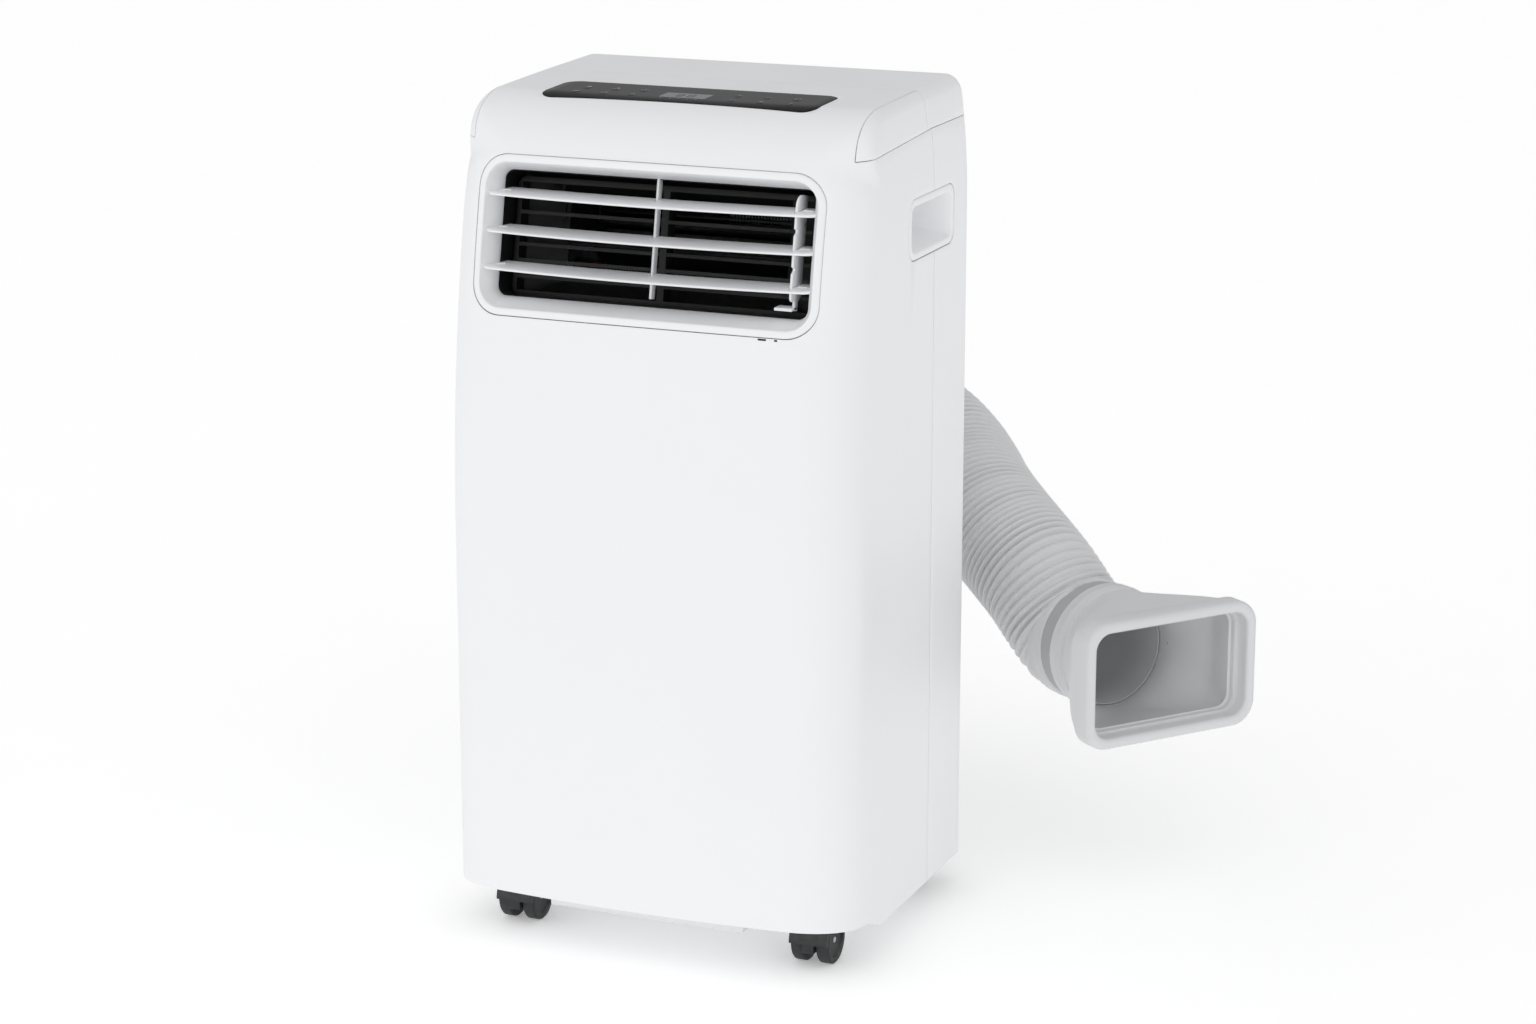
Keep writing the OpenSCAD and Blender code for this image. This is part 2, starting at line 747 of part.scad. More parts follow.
// Blower wheel: hub disc, blades and a rim, along local Z
module fan_wheel(r, h, blades) {
    cylinder(h = 2, r = r - 1);
    cylinder(h = h / 2, r = 12);
    translate([0, 0, h - 3]) ring(3, r, r - 9);
    for (i = [0:blades - 1]) rotate([0, 0, i * 360 / blades]) translate([r - 8, -0.8, 1])
        cube([7, 1.6, h - 2]);
}

module ring(h, r_out, r_in) difference() {
    cylinder(h = h, r = r_out);
    translate([0, 0, -1]) cylinder(h = h + 2, r = r_in);
}

// Places a child's local Z along +Y at a point of the lower fan's axis
module lower_axis(y) translate([lower_fan_x, y, lower_fan_z]) rotate([-90, 0, 0]) children();

module lower_fan_wheel() {
    color(black) lower_axis(lower_house_y0 + 8) {
        fan_wheel(lower_fan_r, lower_house_d - 16, 28);
        // The shaft turns with the wheel and runs in the motor's bearing
        translate([0, 0, -24]) cylinder(h = 24 + lower_house_d - 20, r = shaft_r);
    }
}

module lower_fan_motor() {
    color(metal) difference() {
        lower_axis(lower_house_y0 - 54) union() {
            cylinder(h = 50, r = 40);
            translate([0, 0, 46]) cylinder(h = 8, r = 56);
        }
        lower_axis(lower_house_y0 - 20) cylinder(h = 30, r = shaft_r + run_gap);
    }
}

// Scroll around the condenser's fan, with an outlet duct up to the round socket
module lower_fan_housing() {
    r = lower_fan_r + 16;
    d = lower_house_d;
    duct_x0 = -socket_side - socket_r + 8;
    duct_x1 = -socket_side + socket_r - 8;
    color(inner_white) difference() {
        union() {
            lower_axis(lower_house_y0) cylinder(h = d, r = r);
            box([duct_x0, lower_house_y0, lower_fan_z], [duct_x1, lower_house_y0 + d, socket_z + socket_r]);
            box([duct_x0, lower_house_y0, lower_fan_z], [lower_fan_x, lower_house_y0 + d, lower_fan_z + r - 20]);
        }
        lower_axis(lower_house_y0 + 2) cylinder(h = d - 4, r = r - 2);
        box([duct_x0 + 2, lower_house_y0 + 2, lower_fan_z],
            [duct_x1 - 2, lower_house_y0 + d - 2, socket_z + socket_r - 2]);
        box([duct_x0 + 2, lower_house_y0 + 2, lower_fan_z],
            [lower_fan_x, lower_house_y0 + d - 2, lower_fan_z + r - 22]);
        // Air inlet behind the wheel, motor shaft in front of it
        lower_axis(lower_house_y0 + d - 5) cylinder(h = 10, r = lower_fan_r - 12);
        lower_axis(lower_house_y0 - 1) cylinder(h = 5, r = 20);
        translate([-socket_side, lower_house_y0 + d - 5, socket_z]) rotate([-90, 0, 0])
            cylinder(h = 10, r = socket_r - 10);
    }
}

// Places a child's local Z along +X at a point of the upper fan's axis
module upper_axis(x) translate([x, upper_fan_y, upper_fan_z]) rotate([0, 90, 0]) children();

module upper_fan_wheel() {
    color(black) upper_axis(-upper_fan_l / 2) {
        fan_wheel(upper_fan_r, upper_fan_l, 24);
        translate([0, 0, -26]) cylinder(h = 26 + upper_fan_l, r = shaft_r);
    }
}

module upper_fan_motor() {
    color(metal) difference() {
        upper_axis(-upper_fan_l / 2 - 44) cylinder(h = 36, r = 34);
        upper_axis(-upper_fan_l / 2 - 30) cylinder(h = 40, r = shaft_r + run_gap);
    }
}

// Casing of the upper fan: open to the evaporator behind and to the outlet in front
module upper_fan_housing() {
    r = upper_fan_r + 9;
    w = upper_fan_l + 12;
    x0 = -w / 2;
    color(black) difference() {
        union() {
            upper_axis(x0) cylinder(h = w, r = r);
            box([x0, duct_y0, upper_fan_z - 20], [w / 2, upper_fan_y, upper_fan_z + r]);
        }
        upper_axis(x0 + 2) cylinder(h = w - 4, r = r - 2);
        box([x0 + 2, duct_y0 - 1, upper_fan_z - 18], [w / 2 - 2, upper_fan_y, upper_fan_z + r - 2]);
        box([x0 + 2, upper_fan_y, upper_fan_z - 30], [w / 2 - 2, upper_fan_y + 2 * r, upper_fan_z + 30]);
        upper_axis(x0 - 1) cylinder(h = 4, r = 10);
    }
}

// Deck between the cold and the warm half, with a rim that holds the condensate
module water_tray() {
    color(inner_white) difference() {
        box([-tray_x, tray_y0, tray_z], [tray_x, tray_y1, tray_z + 14]);
        box([3 - tray_x, tray_y0 + 3, tray_z + 3], [tray_x - 3, tray_y1 - 3, tray_z + 15]);
    }
}

module discharge_pipe() {
    // Crown of the compressor's domed lid
    top = foot_top_z + compressor_h + compressor_dome;
    // Between the last two return bends
    inlet_z = condenser_z + 8.5 * condenser_h / (condenser_rows + 1);
    color(copper) pipe([[compressor_x, compressor_y, top], [compressor_x, compressor_y, top + 11],
        [pipe_x, compressor_y, top + 11], [pipe_x, condenser_y + 8, top + 11],
        [pipe_x, condenser_y + 8, inlet_z], [coil_w / -2 - 2, condenser_y + 8, inlet_z]], 4);
}

module suction_pipe() {
    low = foot_top_z + 60;
    // Between the first two return bends
    outlet_pipe_z = evaporator_z + 2.5 * evaporator_h / (evaporator_rows + 1);
    // In front of the discharge pipe where the two cross
    start_y = compressor_y - 10;
    color(copper) pipe([[compressor_x - compressor_r + 0.2, start_y, low], [pipe_x, start_y, low],
        [pipe_x, start_y, tray_z - 12], [pipe_x, tray_y1 + 6, tray_z - 12],
        [pipe_x, tray_y1 + 6, outlet_pipe_z], [coil_w / -2 - 2, tray_y1 + 6, outlet_pipe_z]], 4.5);
}

module electric_box() {
    color(inner_white) difference() {
        box([electric_x0, electric_y0, electric_z], [half_w - 14, electric_y0 + 60, electric_z + 120]);
        box([electric_x0 + 2, electric_y0 - 1, electric_z + 2],
            [half_w - 16, electric_y0 + 58, electric_z + 118]);
    }
}

module run_capacitor() {
    color(metal) translate([electric_x0 + 26, electric_y0 + 28, electric_z + 2]) cylinder(h = 80, r = 19);
}

module splash_wheel() {
    color(black) translate([splash_x, splash_y, splash_z]) rotate([-90, 0, 0]) {
        difference() {
            cylinder(h = 5, r = splash_r);
            for (a = [0:30:330]) rotate([0, 0, a]) translate([splash_r - 3, 0, -1]) cylinder(h = 7, r = 2.5);
        }
        translate([0, 0, -16]) cylinder(h = 16, r = 3);
    }
}

module splash_motor() {
    color(metal) translate([splash_x, splash_y - 40, splash_z]) rotate([-90, 0, 0]) difference() {
        cylinder(h = 34, r = 18);
        translate([0, 0, 22]) cylinder(h = 13, r = 3 + run_gap);
    }
}

// ---- Back ----
// Removable intake grille: it closes its opening in the rear shell
module grille(z, h) {
    color(white) translate([0, 0, z]) difference() {
        bar_y(grille_w - 2 * seal_gap, h - 2 * seal_gap, grille_round, back_y - 8, back_y);
        bar_y(grille_w - 8, h - 8, 4, back_y - 9, back_y - 4);
        for (i = [1:floor(h / slat_pitch) - 1], s = [-1, 1])
            translate([s * grille_w / 4, back_y - 4, i * slat_pitch - h / 2])
                cube([grille_w / 2 - 12, 10, slat_pitch - 3], center = true);
    }
}

// Filter: a frame with a thin mesh, clipped into the back of its grille
module filter_mesh(z, h) {
    color("#4A4D52") translate([0, 0, z]) {
        bar_y(grille_w - 16, h - 16, 3, back_y - 7.2, back_y - 6.4);
        difference() {
            bar_y(grille_w - 8, h - 8, 4, back_y - 8, back_y - 4);
            bar_y(grille_w - 18, h - 18, 3, back_y - 9, back_y - 3);
        }
    }
}

module upper_grille() grille(upper_grille_z, upper_grille_h);
module lower_grille() grille(lower_grille_z, lower_grille_h);
module upper_filter() filter_mesh(upper_grille_z, upper_grille_h);
module lower_filter() filter_mesh(lower_grille_z, lower_grille_h);

// Rubber drain plug: a stem in the drain hole, a round head and a pull tab
module drain_plug(z) {
    color(black) translate([drain_x, back_y, z]) rotate([-90, 0, 0]) {
        translate([0, 0, -14]) cylinder(h = 15, r = drain_r - 1);
        cylinder(h = 4, r = drain_r + 5);
        translate([-2, -2, 3]) cube([4, 4, 9]);
    }
}

module upper_drain_plug() drain_plug(upper_drain_z);
module lower_drain_plug() drain_plug(lower_drain_z);

// Round socket for the hose, with a flange against the back
module exhaust_socket() {
    bore_r = hose_r - 1.5;
    color(white) translate([-socket_side, 0, socket_z]) rotate([-90, 0, 0]) difference() {
        union() {
            translate([0, 0, back_y - 22]) cylinder(h = 22 + socket_out, r = socket_r - 2);
            translate([0, 0, back_y - shell_wall]) cylinder(h = shell_wall, r = socket_r);
            translate([0, 0, back_y]) cylinder(h = 4, r = socket_r + 4);
            translate([0, 0, back_y + socket_out - 8]) cylinder(h = 8, r = socket_r);
        }
        translate([0, 0, back_y - 30]) cylinder(h = 60 + socket_out, r = bore_r);
    }
}

module mains_gland() {
    color(black) translate([gland_x, 0, gland_z]) rotate([-90, 0, 0]) difference() {
        union() {
            translate([0, 0, back_y - 8]) cylinder(h = 8, r = gland_r);
            translate([0, 0, back_y]) cylinder(h = 5, r = gland_r + 4);
        }
        translate([0, 0, back_y - 9]) cylinder(h = 20, r = cord_r);
    }
}

module shell_screws() {
    color(metal) for (s = [-1, 1], z = screw_zs)
        translate([s * screw_x, back_y, z]) rotate([-90, 0, 0]) difference() {
            union() {
                translate([0, 0, -12]) cylinder(h = 12, r = screw_r - 0.1);
                cylinder(h = 2.2, r = screw_r + 2);
            }
            translate([0, 0, 1.7]) cube([0.9, 5, 1.2], center = true);
            translate([0, 0, 1.7]) cube([5, 0.9, 1.2], center = true);
        }
}

// ---- Hose ----
function unit(v) = v / norm(v);

// Direction of the hose at route point i: along the socket, along the cuff or the mean of two steps
function hose_dir(i) = i == 0 ? [0, 1, 0]
    : i == len(hose_route) - 1 ? mouth_dir
    : unit(hose_route[i + 1] - hose_route[i - 1]);

// Ring of points around route point i, at radius r
function hose_ring(i, r) = let (
        d = hose_dir(i),
        side = unit(cross(d, [0, 0, 1])),
        up = cross(side, d))
    [for (k = [0:hose_sides - 1]) let (a = 360 * k / hose_sides)
        hose_route[i] + r * (cos(a) * side + sin(a) * up)];

// Two triangles for the four-sided patch a, b, c, d
function patch(a, b, c, d) = [[a, b, c], [a, c, d]];

// A tube: the outer rings come first, then the inner ones
module exhaust_hose() {
    n = len(hose_route);
    m = hose_sides;
    inner = n * m;
    last = (n - 1) * m;
    color(hose_grey) polyhedron(
        points = concat(
            [for (i = [0:n - 1]) each hose_ring(i, hose_r)],
            [for (i = [0:n - 1]) each hose_ring(i, hose_r - hose_wall)]),
        faces = concat(
            [for (i = [0:n - 2], k = [0:m - 1]) let (a = i * m + k, b = i * m + (k + 1) % m)
                each concat(patch(a, a + m, b + m, b),
                    patch(inner + a, inner + b, inner + b + m, inner + a + m))],
            [for (k = [0:m - 1]) let (q = (k + 1) % m)
                each concat(patch(k, q, inner + q, inner + k),
                    patch(last + k, inner + last + k, inner + last + q, last + q))]));
}

// Places a child's local Z along the adaptor, starting at the hose's end
module hose_end() translate(hose_route[len(hose_route) - 1])
    rotate([0, 0, mouth_a]) rotate([90, 0, 0]) children();

// Cuff on the hose's end: a plain ring and a narrower one
module hose_cuff() {
    color(hose_grey) hose_end() difference() {
        union() {
            cylinder(h = 19, r = hose_r + 1);
            cylinder(h = cuff_l, r = hose_r - 1.5);
        }
        translate([0, 0, -1]) cylinder(h = cuff_l + 2, r = hose_r - 1.5 - hose_wall);
    }
}

// Adaptor: a round collar that flares to a rectangular mouth with a thick rim
module window_adaptor() {
    color(hose_grey) hose_end() difference() {
        union() {
            translate([0, 0, 37]) ring(18, hose_r + 1.5, hose_r - 1.5);
            flare(0, 0);
            translate([0, 0, cuff_l + adaptor_l - 22]) linear_extrude(height = 22)
                round_rect(mouth_w, mouth_h, 22);
        }
        flare(hose_wall, 1);
        translate([0, 0, cuff_l + adaptor_l - 20]) linear_extrude(height = 21)
            round_rect(mouth_w - 20, mouth_h - 20, 14);
    }
}

// Round-to-rectangular body of the adaptor, drawn in by t and longer by over at both ends
module flare(t, over) hull() {
    translate([0, 0, cuff_l - over]) cylinder(h = 1, r = hose_r - t, $fn = 32);
    translate([0, 0, cuff_l + adaptor_l - 20 + over]) linear_extrude(height = 1)
        round_rect(mouth_w - 12 - 2 * t, mouth_h - 10 - 2 * t, 16, $fn = 32);
}

front_shell();
rear_shell();
top_front_cover();
top_rear_cover();
touch_panel();
display_window();
control_board();
outlet_frame();
outlet_grille();
centre_support();
louver_upper();
louver_middle();
louver_lower();
louver_link();
handle_left();
handle_right();
base_pan();
castor_front_left();
castor_front_right();
castor_rear_left();
castor_rear_right();
axle_front_left();
axle_front_right();
axle_rear_left();
axle_rear_right();
wheels_front_left();
wheels_front_right();
wheels_rear_left();
wheels_rear_right();
compressor();
compressor_feet();
condenser();
evaporator();
lower_fan_wheel();
lower_fan_motor();
lower_fan_housing();
upper_fan_wheel();
upper_fan_motor();
upper_fan_housing();
water_tray();
discharge_pipe();
suction_pipe();
electric_box();
run_capacitor();
splash_wheel();
splash_motor();
upper_grille();
upper_filter();
lower_grille();
lower_filter();
upper_drain_plug();
lower_drain_plug();
exhaust_socket();
mains_gland();
shell_screws();
exhaust_hose();
hose_cuff();
window_adaptor();
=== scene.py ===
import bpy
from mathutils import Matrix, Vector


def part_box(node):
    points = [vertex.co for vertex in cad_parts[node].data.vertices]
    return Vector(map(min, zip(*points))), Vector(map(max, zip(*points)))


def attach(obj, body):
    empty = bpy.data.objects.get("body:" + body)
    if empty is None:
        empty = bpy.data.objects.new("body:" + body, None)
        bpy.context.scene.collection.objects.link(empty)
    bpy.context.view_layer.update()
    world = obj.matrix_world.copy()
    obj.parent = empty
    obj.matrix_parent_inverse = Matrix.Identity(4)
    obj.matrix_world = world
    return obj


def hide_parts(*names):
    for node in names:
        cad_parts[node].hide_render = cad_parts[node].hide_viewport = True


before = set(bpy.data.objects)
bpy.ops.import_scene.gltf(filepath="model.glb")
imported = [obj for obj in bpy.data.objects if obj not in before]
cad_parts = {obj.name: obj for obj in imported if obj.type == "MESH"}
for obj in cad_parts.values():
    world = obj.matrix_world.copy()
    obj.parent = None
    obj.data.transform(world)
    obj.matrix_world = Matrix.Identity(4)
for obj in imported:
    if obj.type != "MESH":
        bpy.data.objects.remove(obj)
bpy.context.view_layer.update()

# %% [markdown]
# # A portable air conditioner, panel by panel
# This lesson dresses a mechanical frame with the surfaces that a person sees: thin moulded ABS panels
# with fine gaps between them, three white louvers in a deep outlet, a gloss touch panel, castors, and a
# corrugated exhaust hose. Sizes come from the frame, in metres, and nothing is read from disk.

# %% Imports and small helpers
import math

import bmesh
import bpy
import numpy as np
from mathutils import Vector

MM = 0.001
scene = bpy.context.scene
rng = np.random.default_rng(7)


def corners(node):
    """Lowest and highest corner of a frame node, as two arrays."""
    low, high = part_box(node)
    return np.array(low), np.array(high)


def smooth_step(u):
    """3u^2 - 2u^3, clamped to 0...1."""
    u = np.clip(u, 0, 1)
    return u * u * (3 - 2 * u)


def linear(hex_colour):
    """sRGB hex to a linear RGBA colour: the sRGB curve undone on each channel."""
    s = np.array([int(hex_colour[i:i + 2], 16) / 255 for i in (1, 3, 5)])
    lin = np.where(s <= 0.04045, s / 12.92, ((s + 0.055) / 1.055) ** 2.4)
    return (*lin.tolist(), 1.0)


# %% [markdown]
# Every new surface below is a grid of points worked out as whole arrays. One helper turns a grid into a
# mesh: rows run along one parameter, columns along the other, and each cell becomes a four-sided face.

# %% From a grid of points to a mesh
def grid_quads(rows, cols, wrap=False, start=0):
    """Faces of a rows x cols grid whose points are numbered row by row. With wrap, the last column joins
    the first."""
    r = np.arange(rows - 1)[:, None]
    c = np.arange(cols if wrap else cols - 1)[None, :]
    d = (c + 1) % cols
    return np.stack(np.broadcast_arrays(r * cols + c, r * cols + d, (r + 1) * cols + d, (r + 1) * cols + c),
                    -1).reshape(-1, 4) + start


def closing_ring(rows, cols):
    """Faces that join the last ring of a wrapped grid to its first."""
    a = np.arange(cols)
    b = (a + 1) % cols
    end = (rows - 1) * cols
    return np.stack([end + a, end + b, b, a], -1).tolist()


def capped_faces(cols, rows=2, start=0):
    """Faces of a tube of rows rings of cols points each, with a flat face at both ends."""
    low_end = list(range(start, start + cols))
    high_end = list(range(start + (rows - 1) * cols, start + rows * cols))
    return grid_quads(rows, cols, wrap=True, start=start).tolist() + [low_end[::-1], high_end]


def make_object(name, points, faces):
    """A mesh object at the origin with its place in its vertices. faces is a list of index lists."""
    mesh = bpy.data.meshes.new(name)
    mesh.from_pydata(np.asarray(points, float).reshape(-1, 3).tolist(), [], [list(map(int, f)) for f in faces])
    mesh.validate()
    obj = bpy.data.objects.new(name, mesh)
    scene.collection.objects.link(obj)
    return obj


def tidy(obj, merge=0.01 * MM):
    """Welds doubled points and turns every face outward."""
    work = bmesh.new()
    work.from_mesh(obj.data)
    bmesh.ops.remove_doubles(work, verts=work.verts, dist=merge)
    bmesh.ops.dissolve_degenerate(work, edges=work.edges, dist=merge)
    bmesh.ops.recalc_face_normals(work, faces=work.faces)
    work.to_mesh(obj.data)
    work.free()
    return obj


def shade(obj, angle=35):
    """Smooth shading, with edges sharper than angle (degrees) kept crisp."""
    obj.data.polygons.foreach_set("use_smooth", [True] * len(obj.data.polygons))
    obj.data.set_sharp_from_angle(angle=math.radians(angle))
    return obj


def apply_modifiers(obj):
    """Replaces the mesh by what its modifiers make of it."""
    bpy.context.view_layer.update()
    done = bpy.data.meshes.new_from_object(obj.evaluated_get(bpy.context.evaluated_depsgraph_get()))
    obj.modifiers.clear()
    old, obj.data = obj.data, done
    bpy.data.meshes.remove(old)
    return obj


def bevel(obj, width, segments=2, angle=40):
    """Rounds every edge sharper than angle, as the radius of a mould does."""
    m = obj.modifiers.new("mould radius", "BEVEL")
    m.width, m.segments, m.angle_limit = width, segments, math.radians(angle)
    m.limit_method, m.harden_normals, m.use_clamp_overlap = "ANGLE", False, True
    return apply_modifiers(obj)


def boolean(obj, other, operation):
    """obj with other taken away (DIFFERENCE), added (UNION) or used as a mask (INTERSECT)."""
    m = obj.modifiers.new("cut", "BOOLEAN")
    m.object, m.operation, m.solver = other, operation, "EXACT"
    apply_modifiers(obj)
    bpy.data.objects.remove(other)
    return obj


def copy_of(obj, name):
    """A second object with its own copy of the mesh."""
    twin = obj.copy()
    twin.data = obj.data.copy()
    twin.name = name
    scene.collection.objects.link(twin)
    return twin


def join(name, pieces):
    """One object from several, with no modifiers left."""
    work = bmesh.new()
    for piece in pieces:
        work.from_mesh(piece.data)
        bpy.data.objects.remove(piece)
    mesh = bpy.data.meshes.new(name)
    work.to_mesh(mesh)
    work.free()
    obj = bpy.data.objects.new(name, mesh)
    scene.collection.objects.link(obj)
    return obj


# %% [markdown]
# Most openings on this machine are rectangles with round corners. One outline function with a fixed
# number of points makes them all, and a prism carries it straight through a wall. A circle is the same
# outline with its radius at half its width.

# %% Outlines and prisms
def outline(half_w, half_h, r, n=8):
    """Rounded rectangle about (0, 0), anticlockwise: at each corner, centre + r (cos a, sin a) over a
    quarter turn."""
    a = np.concatenate([np.linspace(q, q + 90, n + 1) for q in (0, 90, 180, 270)])
    sx = np.repeat([1, -1, -1, 1], n + 1)
    sy = np.repeat([1, 1, -1, -1], n + 1)
    t = np.radians(a)
    return np.stack([sx * (half_w - r) + r * np.cos(t), sy * (half_h - r) + r * np.sin(t)], -1)


def prism(name, half_w, half_h, r, lo, hi, place, n=8):
    """A closed bar with a rounded rectangle as its section. place maps (u, v, depth) arrays to points."""
    section = outline(half_w, half_h, r, n)
    grid = np.array([np.column_stack([section, np.full(len(section), d)]) for d in (lo, hi)])
    points = place(grid[..., 0], grid[..., 1], grid[..., 2])
    return tidy(make_object(name, points, capped_faces(len(section))))


def block(name, low, high):
    """A closed box from one corner to the other."""
    low, high = np.array(low), np.array(high)
    corner = np.array([[i, j, k] for i in (0, 1) for j in (0, 1) for k in (0, 1)])
    faces = [[0, 1, 3, 2], [4, 6, 7, 5], [0, 4, 5, 1], [2, 3, 7, 6], [0, 2, 6, 4], [1, 5, 7, 3]]
    return tidy(make_object(name, low + corner * (high - low), faces))


def along_y(x0=0.0, z0=0.0):
    """Place function: u to the right, v up, depth towards the back, about (x0, z0)."""
    return lambda u, v, d: np.stack([x0 + u, d, z0 + v], -1)


def along_z(x0=0.0, y0=0.0):
    """Place function: outline lies flat, depth is height."""
    return lambda u, v, d: np.stack([x0 + u, y0 + v, d], -1)

# %% [markdown]
# The view comes first. The camera stands in front, 22 degrees to the right and 15 degrees up, about
# three metres off with a long lens, so upright edges stay almost parallel. The hose follows, because its
# length and its ends are facts that everything behind the machine has to agree with.

# %% Camera
CAMERA_AT = Vector((1.1685, -2.7239, 1.1231))
CAMERA_AIM = Vector((0.0572, -0.0220, 0.3538))
camera = bpy.data.objects.new("camera", bpy.data.cameras.new("camera"))
camera.data.sensor_width, camera.data.lens = 36, 86.2
camera.location = CAMERA_AT
camera.rotation_mode = "QUATERNION"
camera.rotation_quaternion = (CAMERA_AIM - CAMERA_AT).to_track_quat("-Z", "Y")
scene.collection.objects.link(camera)
scene.camera = camera
scene.view_settings.view_transform = "Standard"
print("camera distance", round((CAMERA_AIM - CAMERA_AT).length, 3), "m")

# %% [markdown]
# White plastic on white paper needs light that is large and soft, with one side brighter than the other,
# or the panels lose their shape. The room itself is the light: its front half is white and its back half
# is a dim grey, so the front is nearly white, the right side and the top are a step darker, and the
# gloss panel on top mirrors the dim half. One broad lamp in front on the left adds a gentle slope.

# %% Studio
def area_light(name, at, aim, size, power):
    """A square soft light at a point, turned to look at another."""
    lamp = bpy.data.lights.new(name, "AREA")
    lamp.shape, lamp.size, lamp.energy = "SQUARE", size, power
    obj = bpy.data.objects.new(name, lamp)
    obj.location = at
    obj.rotation_mode = "QUATERNION"
    obj.rotation_quaternion = (Vector(aim) - Vector(at)).to_track_quat("-Z", "Y")
    scene.collection.objects.link(obj)


FRONT_ROOM, BACK_ROOM = 0.93, 0.46
FADE_START, FADE_END = -0.35, 0.75
LAMP_SIZE, LAMP_POWER = 2.4, 4
area_light("front light", (-1.9, -3.0, 1.3), (0, 0, 0.35), LAMP_SIZE, LAMP_POWER)
world = bpy.data.worlds.new("white room")
scene.world = world
world.use_nodes = True
sky = world.node_tree
look = sky.nodes.new("ShaderNodeTexCoord")
split = sky.nodes.new("ShaderNodeSeparateXYZ")
fade = sky.nodes.new("ShaderNodeMapRange")
fade.interpolation_type = "SMOOTHSTEP"
for socket, value in (("From Min", FADE_START), ("From Max", FADE_END), ("To Min", FRONT_ROOM),
                      ("To Max", BACK_ROOM)):
    fade.inputs[socket].default_value = value
sky.links.new(look.outputs["Generated"], split.inputs["Vector"])
sky.links.new(split.outputs["Y"], fade.inputs["Value"])
sky.links.new(fade.outputs["Result"], sky.nodes["Background"].inputs["Strength"])
sky.nodes["Background"].inputs["Color"].default_value = linear("#FFFFFF")


# %% [markdown]
# A material is a short chain of shader nodes. One function adds a node with its settings and links, and
# a second one holds what nearly every moulded part here has: a base colour that drifts a little, fine
# grain in the bump, and a roughness that varies slightly from place to place, like handled plastic.

# %% Adding nodes
def add_node(tree, kind, settings=None, **inputs):
    """A node of one kind. Each input is a value, or a link given as (node, output name)."""
    node = tree.nodes.new(kind)
    for key, value in (settings or {}).items():
        setattr(node, key, value)
    for key, value in inputs.items():
        numbered = key[0] == "i" and key[1:].isdigit()
        socket = node.inputs[int(key[1:]) if numbered else key.replace("_", " ")]
        if isinstance(value, tuple) and isinstance(value[0], bpy.types.Node):
            tree.links.new(value[0].outputs[value[1]], socket)
        else:
            socket.default_value = value
    return node


def new_material(name):
    """An empty material with its Principled shader, and an Object coordinate node to read places from."""
    mat = bpy.data.materials.new(name)
    mat.use_nodes = True
    tree = mat.node_tree
    where = add_node(tree, "ShaderNodeTexCoord")
    return mat, tree, tree.nodes["Principled BSDF"], (where, "Object")


def moulded(name, colour, roughness, grain_mm=0.8, grain_depth=0.02, drift=0.03, ior=1.5,
            spread=0.06, metallic=0.0, dust=0.0, worn=None):
    """A moulded, painted or cast finish. Grain of grain_mm gives the bump, a slow drift moves the colour and
    the roughness, dust lies pale on faces that look up, and worn is a lighter colour that edges pick up."""
    mat, tree, shader, place = new_material(name)
    grain = add_node(tree, "ShaderNodeTexNoise", Vector=place, Scale=1 / (grain_mm * MM), Detail=3.0)
    slow = add_node(tree, "ShaderNodeTexNoise", Vector=place, Scale=9.0, Detail=4.0)
    base = np.array(linear(colour))
    dark, light = base * (1 - drift), np.minimum(base * (1 + drift), 1)
    dark[3] = light[3] = 1
    tone = add_node(tree, "ShaderNodeMix", {"data_type": "RGBA"}, Factor=(slow, "Fac"))
    tone.inputs[6].default_value, tone.inputs[7].default_value = dark, light
    out = (tone, 2)
    if worn:
        # Edges bend away from the flat normal: pointiness picks them out, as rubbing does
        edge = add_node(tree, "ShaderNodeNewGeometry")
        rubbed = add_node(tree, "ShaderNodeMapRange", Value=(edge, "Pointiness"), From_Min=0.52, From_Max=0.62,
                          To_Min=0.0, To_Max=0.6)
        mix = add_node(tree, "ShaderNodeMix", {"data_type": "RGBA"}, Factor=(rubbed, "Result"))
        tree.links.new(tone.outputs[2], mix.inputs[6])
        mix.inputs[7].default_value = linear(worn)
        out = (mix, 2)
    if dust:
        up = add_node(tree, "ShaderNodeNewGeometry")
        facing = add_node(tree, "ShaderNodeSeparateXYZ", Vector=(up, "Normal"))
        speck = add_node(tree, "ShaderNodeTexNoise", Vector=place, Scale=140.0, Detail=5.0)
        lie = add_node(tree, "ShaderNodeMath", {"operation": "MULTIPLY", "use_clamp": True},
                       i0=(facing, "Z"), i1=(speck, "Fac"))
        much = add_node(tree, "ShaderNodeMath", {"operation": "MULTIPLY", "use_clamp": True},
                        i0=(lie, 0), i1=dust)
        mix = add_node(tree, "ShaderNodeMix", {"data_type": "RGBA"}, Factor=(much, 0))
        tree.links.new(out[0].outputs[out[1]], mix.inputs[6])
        mix.inputs[7].default_value = linear("#C9C6C0")
        out = (mix, 2)
    tree.links.new(out[0].outputs[out[1]], shader.inputs["Base Color"])
    rough = add_node(tree, "ShaderNodeMapRange", Value=(slow, "Fac"), From_Min=0.3, From_Max=0.7,
                     To_Min=roughness - spread, To_Max=roughness + spread)
    tree.links.new(rough.outputs["Result"], shader.inputs["Roughness"])
    bump = add_node(tree, "ShaderNodeBump", Height=(grain, "Fac"), Strength=0.35, Distance=grain_depth * MM)
    tree.links.new(bump.outputs["Normal"], shader.inputs["Normal"])
    shader.inputs["IOR"].default_value = ior
    shader.inputs["Metallic"].default_value = metallic
    return mat


